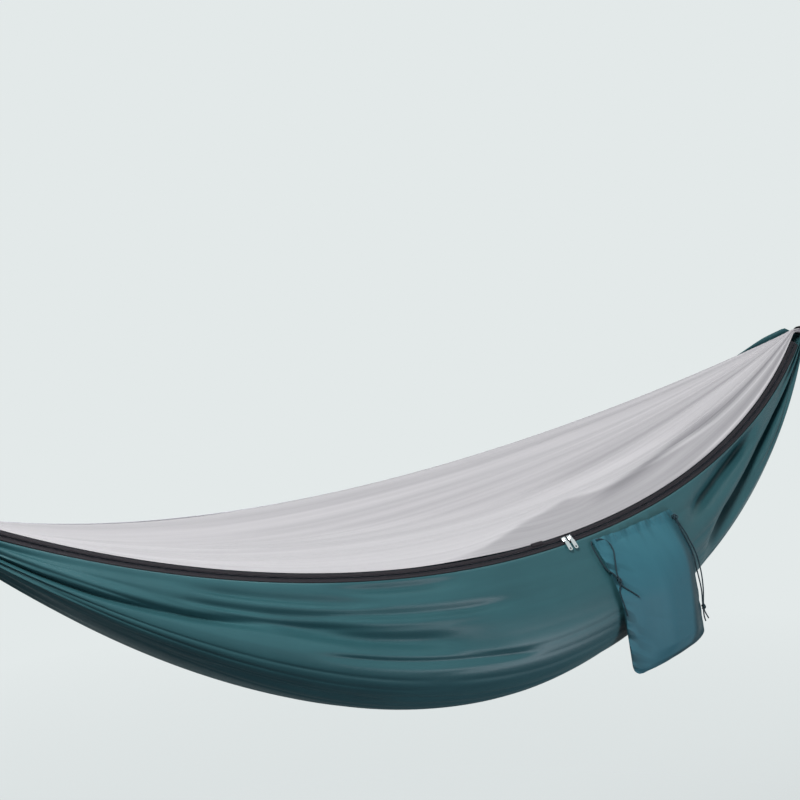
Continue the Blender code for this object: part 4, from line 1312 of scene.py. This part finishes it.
@dataclass
class InsectNet:
    """The net, sewn along both rims and gathered in with the body at the ends."""

    stations: int = 200
    points: int = 150
    thickness: float = 0.0005
    near_edge: float = -0.0232
    far_edge: float = -0.0105
    sag: float = 0.030
    upper_dip: float = 0.016
    lower_rise: float = 0.012
    crease: float = 0.0032
    thin_crease: float = 0.0016
    soft_wave: float = 0.0030
    pleats: float = 9.0
    pleat_share: float = 0.14
    cut: tuple[float, float] = (0.85, 2.55)
    cut_area: float = 1.25

    def upper_ridge(self, x: np.ndarray) -> np.ndarray:
        """Where the far part of the net turns down to the far rim, in w."""
        return np.interp(x, (-1.15, -0.45, -0.21, 0.13, 0.49, 0.7, 0.85, 1.15),
                         (0.82, 0.78, 0.72, 0.60, 0.50, 0.42, 0.40, 0.40))

    def lower_ridge(self, x: np.ndarray) -> np.ndarray:
        """Line beside the zip on the right, in w, along which the net rises, and on whose zip side it is
        painted darker.
        """
        return np.interp(x, (-0.30, -0.07, 0.11, 0.27, 0.36, 0.6, 0.75, 1.15),
                         (0.0, 0.10, 0.25, 0.32, 0.27, 0.24, 0.20, 0.18))

    def height(self, x: np.ndarray, w: np.ndarray) -> np.ndarray:
        """Height of the net above the straight lines between its edges.

        Args:
            x: places along the hammock.
            w: places across the net, 0 at the near rim and 1 at the far rim.

        Returns:
            The height in metres, below zero where the net sags.
        """
        open_share = 1 - HANG.share(x) ** 2
        window = np.sin(math.pi * w)
        height = -self.sag * window - self.upper_dip * hump(w - self.upper_ridge(x), 0.16)
        rise = self.lower_rise * smoothstep((x + 0.3) / 0.4)
        height = height + rise * hump(w - self.lower_ridge(x), 0.07)
        fan = smoothstep((np.abs(x) - 0.15) / 0.9)
        drift = w + 0.03 * value_noise(x * 1.3 + 4, w * 4, 21)
        folds = self.crease * creases(x * 1.1 + 7, drift * 13, 22, 3)
        folds = folds + self.thin_crease * creases(x * 1.6 + 2, drift * 27, 23, 3)
        folds = folds + self.soft_wave * value_noise(x * 1.5 + 11, drift * 9, 24)
        return open_share * height + (0.7 + 1.5 * fan * open_share) * folds * window ** 0.5

    def net_streaks_and_painted_light(self, x: np.ndarray, w: np.ndarray) -> np.ndarray:
        """Painted shade and highlight on the net, with random streaks along it.

        Args:
            x: places along the hammock.
            w: places across the net, 0 at the near rim and 1 at the far rim.

        Returns:
            0 where the most shade is painted and 1 where the most light is painted.
        """
        # Painted shade beside the zip on the right, where the net turns down, and beyond the upper
        # ridge, where it slopes away from the light.
        beside = smoothstep((self.lower_ridge(x) - w) / 0.03) * smoothstep((x + 0.25) / 0.2)
        beyond = smoothstep((w - self.upper_ridge(x)) / 0.08)
        right = smoothstep((x - 0.25) / 0.3)
        deep = np.interp(x, (0.3, 0.5, 0.66, 0.74, 0.84, 1.15), (0.20, 0.26, 0.325, 0.315, 0.30, 0.30))
        wide = np.interp(x, (0.5, 0.66, 0.76, 0.92), (0.036, 0.048, 0.075, 0.055))
        # Painted shade and highlight: a dark band along a fold with a faint light line beside it, a dark
        # line further up, and a highlight by the zip.
        band = (0.10 * hump(w - deep + 0.12, 0.03) - 0.78 * hump(w - deep, wide)
                - 0.18 * hump(w - 0.62, 0.03)
                + 0.40 * hump(w - 0.035, 0.022) * smoothstep((x - 0.5) / 0.2))
        streak = value_noise(x * 0.9 + 7, (w + 0.02 * value_noise(x * 1.2, w * 5, 25)) * 34, 26)
        fine = value_noise(x * 1.5 + 3, w * 90, 27)
        value = 0.80 - 0.46 * beside - 0.13 * beyond + right * band
        return np.clip(value + (0.12 + 0.08 * right) * streak + 0.07 * fine, 0.0, 1.0)

    def build(self) -> None:
        """Make the sheet."""
        x = stations(HANG.bundle_end - 0.004, self.stations)
        grid_x, grid_w = np.meshgrid(x, np.linspace(0.0, 1.0, self.points), indexing="ij")
        near_x = np.minimum(np.abs(grid_x), HANG.half_chord)
        near, far = (HANG.band(np.arcsin(near_x / (HANG.rim_radius + edge)), edge, -HANG.cloth / 2, rim)
                     for edge, rim in ((self.near_edge, Rim.NEAR), (self.far_edge, Rim.FAR)))
        gather = smoothstep((np.abs(grid_x) - HANG.half_chord + HANG.zip_setback) / HANG.zip_setback)
        open_y = near[..., 1] * (1 - grid_w) + far[..., 1] * grid_w
        open_z = near[..., 2] * (1 - grid_w) + far[..., 2] * grid_w + self.height(grid_x, grid_w)
        angle = math.pi - HANG.net_neck_angle - (math.pi - 2 * HANG.net_neck_angle) * grid_w
        pleat = 1 - self.pleat_share * (0.5 - 0.5 * np.cos(2 * math.pi * self.pleats * grid_w))
        radius = (HANG.neck_radius(grid_x) - 0.001) * pleat
        y = open_y * (1 - gather) + radius * np.cos(angle) * gather
        z = open_z * (1 - gather) + radius * np.sin(angle) * gather
        points = HANG.placed(np.stack([grid_x, y, z], axis=-1))
        mesh = grid_mesh("bug_net_cloth", points, walked_uv(points))
        # Painted shade and highlight, with random streaks, for the net's colour and clearness.
        keep_values(mesh, "net_streaks_and_painted_light", self.net_streaks_and_painted_light(grid_x, grid_w))
        obj = link_mesh("bug_net_cloth", mesh, INSECT_NET.make())
        thicken(obj, self.thickness, 0.0)
        declare(obj, "hammock", "bug_net")
        LOG.info("insect net: %d faces", len(mesh.polygons))


@dataclass
class ZipBand:
    """Coils and stitching of the zip and of the far binding."""

    coils: dict[str, float] = field(default_factory=lambda: {
        "zip_coil_body": -0.00945, "zip_coil_net": -0.01315})
    turn_pitch: float = 0.0016
    turn_radius: float = 0.00085
    turn_wire: float = 0.00036
    turn_stretch: Triple = (1.0, 0.87, 1.07)
    turn_slant: float = 0.35
    stop_room: float = 0.0034
    seams: dict[str, tuple[float, Rim, float]] = field(default_factory=lambda: {
        "seam_body_tape": (-0.0042, Rim.NEAR, 0.0007),
        "seam_net_tape": (-0.0192, Rim.NEAR, 0.0007),
        "seam_far_binding": (-0.0055, Rim.FAR, 0.0009)})
    stitch_pitch: float = 0.0046
    stitch_size: Triple = (0.0032, 0.00055, 0.00045)

    def along_rim(self, angle: float, out: float, level: float, rim: Rim) -> Matrix:
        """A frame on the rim: X along it, Y out past it, Z off its plane.

        Args:
            angle: place along the rim's arc, from its middle.
            out: distance past the rim in its plane.
            level: distance off that plane, upwards.
            rim: which long edge.

        Returns:
            The frame, in the row frame.
        """
        here, after, outer = (HANG.placed(HANG.band(np.array(a), o, level, rim))
                              for a, o in ((angle, out), (angle + 1e-4, out), (angle, out + 1e-3)))
        x_axis = Vector((after - here).tolist()).normalized()
        y_axis = Vector((outer - here).tolist()).normalized()
        y_axis = (y_axis - x_axis * y_axis.dot(x_axis)).normalized()
        axes = Matrix((x_axis, y_axis, x_axis.cross(y_axis))).transposed().to_4x4()
        return Matrix.Translation(Vector(here.tolist())) @ axes

    def coil_turn(self) -> bpy.types.Object:
        """Model one turn of the coil: a flattened ring of nylon, slanted to meet the next.

        Returns:
            The turn, at the origin.
        """
        bpy.ops.object.select_all(action="DESELECT")
        bpy.ops.mesh.primitive_torus_add(major_segments=10, minor_segments=5, location=(0.0, 0.0, 0.0),
                                         major_radius=self.turn_radius, minor_radius=self.turn_wire)
        return stretched(self.turn_stretch, self.turn_slant)

    def stitch(self) -> bpy.types.Object:
        """Model one stitch: a short length of thread, thinner where it dives into the cloth.

        Returns:
            The stitch, at the origin.
        """
        bpy.ops.object.select_all(action="DESELECT")
        bpy.ops.mesh.primitive_uv_sphere_add(segments=6, ring_count=4, radius=0.5,
                                             location=(0.0, 0.0, 0.0))
        return stretched(self.stitch_size)

    def lay_coils(self) -> None:
        """Lay both coil rows along the near rim, between the zip stops."""
        finish = COIL_NYLON.make()
        half = HANG.zip_half_angle - self.stop_room / HANG.rim_radius
        step = self.turn_pitch / HANG.rim_radius
        for k, (node, out) in enumerate(self.coils.items()):
            places = (self.along_rim(-half + step * (i + 0.5 + 0.5 * k), out, -HANG.cloth / 2, Rim.NEAR)
                      for i in range(int(2 * half / step)))
            name = node + "_turns"
            obj = link_mesh(name, copies_mesh(name, self.coil_turn(), places), finish)
            declare(obj, "hammock", node)

    def sew_seams(self) -> None:
        """Sew each tape down with a row of stitches."""
        finish = THREAD.make()
        half = HANG.zip_half_angle * 0.997
        step = self.stitch_pitch / HANG.rim_radius
        for name, (out, rim, lift) in self.seams.items():
            places = (self.along_rim(angle, out, lift - HANG.cloth / 2, rim)
                      for angle in np.arange(-half, half, step))
            obj = link_mesh(name, copies_mesh(name, self.stitch(), places), finish)
            declare(obj, "hammock")

    def build(self) -> None:
        """Make the coils and the seams."""
        self.lay_coils()
        self.sew_seams()
        LOG.info("zip: %d coil rows and %d seams", len(self.coils), len(self.seams))


@dataclass
class StuffSack:
    """The stuff sack that hangs from the near rim, its mouth puckered on the drawcord."""

    columns: int = 110
    rows: int = 130
    flare: float = 0.014
    fullness: float = 0.010
    gathers: float = 0.0036
    scallop: float = 0.0017
    wall: float = 0.0008

    def relief(self, u: np.ndarray, s: np.ndarray) -> np.ndarray:
        """Folds of the front.

        Args:
            u: shares of the way across.
            s: shares of the way down.

        Returns:
            How far the front stands outwards, in metres.
        """
        top = np.exp(-s / 0.055)
        hem = smoothstep(s / 0.02) * smoothstep((0.075 - s) / 0.02)
        phase = u + 0.02 * value_noise(u * 7, s * 3, 41)
        pucker = (0.0026 * value_noise(phase * 17, s * 2, 42)
                  + 0.0016 * value_noise(phase * 33, s * 4, 43)
                  - 0.0014 * creases(phase * 24, s * 3, 44, 4))
        side = np.exp(-u / 0.10) + 0.6 * np.exp(-(1 - u) / 0.06)
        gathers = self.gathers * value_noise(u * 3 + s * 4, s * 24 - u * 9, 45) * side
        soft = (0.0024 * value_noise(u * 2.3 + 1, s * 2.6 + 2, 46)
                + 0.0009 * value_noise(u * 6, s * 5, 47)
                - 0.0005 * creases(u * 1.6 + 3, (s - 0.3 * u) * 5 + 2, 48, 4))
        body = np.sin(math.pi * u) ** 0.5 * np.minimum(1.0, s * 8)
        full = smoothstep((u - 0.18) / 0.35) * smoothstep((1 - u) / 0.19) * smoothstep(s / 0.3)
        full = self.fullness * (0.65 + 0.85 * s) * full * smoothstep((1 - s) / 0.15)
        return pucker * (1.4 * top + 0.35 * hem) + 0.0012 * hem + gathers + soft * body + full

    def painted_shade(self, u: np.ndarray, s: np.ndarray) -> np.ndarray:
        """Painted shade on the front: where its colour is darkened as if in shade.

        Args:
            u: shares of the way across.
            s: shares of the way down.

        Returns:
            Up to 1 at its right side, its foot, its left creases and its mouth.
        """
        right = smoothstep((u - 0.85 + 0.13 * s) / 0.09) * (0.55 + 0.45 * smoothstep(s / 0.5))
        foot = smoothstep((s - 0.945) / 0.03) * (0.35 + 0.65 * smoothstep((u - 0.2) / 0.4))
        left = smoothstep((value_noise(u * 6, s * 26 - u * 15, 50) - 0.05) / 0.3) * np.exp(-u / 0.08)
        mouth = smoothstep((value_noise(u * 18 + s * 9, s * 6, 51) - 0.15) / 0.3) * np.exp(-s / 0.06)
        return np.maximum.reduce([right, foot, left * smoothstep(s / 0.2), 0.6 * mouth])

    def surface(self, u: np.ndarray, s: np.ndarray, front: bool) -> np.ndarray:
        """Front or back of the sack.

        Args:
            u: shares of the way across.
            s: shares of the way down.
            front: whether it is the front.

        Returns:
            The points in the row frame.
        """
        result = np.empty(u.shape + (3,))
        relief = self.relief(u, s)
        ruffle = value_noise(u * 21, u * 0, 49)
        for i in range(u.shape[0]):
            for j in range(u.shape[1]):
                down = SACK.length * s[i, j]
                to_end = SACK.length - down
                inset = 0.0
                if to_end < SACK.corner:
                    past = SACK.corner - to_end
                    inset = SACK.corner - math.sqrt(max(0.0, SACK.corner ** 2 - past ** 2))
                across = inset + (SACK.width - 2 * inset + self.flare * s[i, j] ** 3) * u[i, j]
                scallop = self.scallop * (1 - ruffle[i, j]) * math.exp(-s[i, j] / 0.02)
                point, normal = SACK.base(across, down + scallop)
                lift = SACK.gap + self.wall / 2
                if front:
                    lift += SACK.thickness(u[i, j], s[i, j]) + relief[i, j] - self.wall
                result[i, j] = point + normal * lift
        return HANG.placed(result)

    def build(self) -> None:
        """Make the sack of a front and a back, open at its mouth."""
        down = np.concatenate([np.linspace(0.0, 0.9, self.rows), np.linspace(0.905, 1.0, 14)])
        u, s = np.meshgrid(np.linspace(0.0, 1.0, self.columns), down)
        front = self.surface(u, s, True)
        back = self.surface(u[:, ::3], s[:, ::3], False)
        mesh = grid_mesh("stuff_sack_cloth", front, walked_uv(front))
        # Painted shade for the sack's colour: darker on its right side, its foot, its left creases and
        # its mouth.
        keep_values(mesh, "painted_shade", self.painted_shade(u, s))
        lower = grid_mesh("stuff_sack_back", back, walked_uv(back))
        bm = bmesh.new()
        bm.from_mesh(mesh)
        bm.from_mesh(lower)
        bm.to_mesh(mesh)
        bm.free()
        bpy.data.meshes.remove(lower)
        obj = link_mesh("stuff_sack_cloth", mesh, SACK_NYLON.make())
        declare(obj, "sack", "stuff_sack")
        LOG.info("stuff sack: %d faces", len(mesh.polygons))


@dataclass
class Hardware:
    """Finishes of the CAD parts that keep their shape."""

    looks: tuple[tuple[Finish, tuple[str, ...]], ...] = (
        (NICKEL, ("slider_left", "slider_right", "pull_left", "pull_right")),
        (STEEL, ("carabiner_left", "carabiner_right", "gate_left", "gate_right",
                 "gate_pin_left", "gate_pin_right")),
        (ZIP_TAPE, ("zip_tape_body", "zip_tape_net", "net_tab")),
        (EDGE_TAPE, ("far_edge_binding",)),
        (COIL_NYLON, ("zip_stop_left", "zip_stop_right")))

    def build(self) -> None:
        """Put each finish on its parts."""
        for finish, nodes in self.looks:
            material = finish.make()
            for node in nodes:
                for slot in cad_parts[node].material_slots:
                    slot.material = material
        LOG.info("hardware: %d finishes", len(self.looks))


def main() -> None:
    """Build the studio and every piece, in order."""
    logging.basicConfig(level=logging.INFO, format="%(message)s")
    Studio().build()
    Drawcord().build()
    for end in End:
        GatheredEnd(end).build()
    BodyCloth().build()
    InsectNet().build()
    ZipBand().build()
    StuffSack().build()
    Hardware().build()


if __name__ == "__main__":
    main()
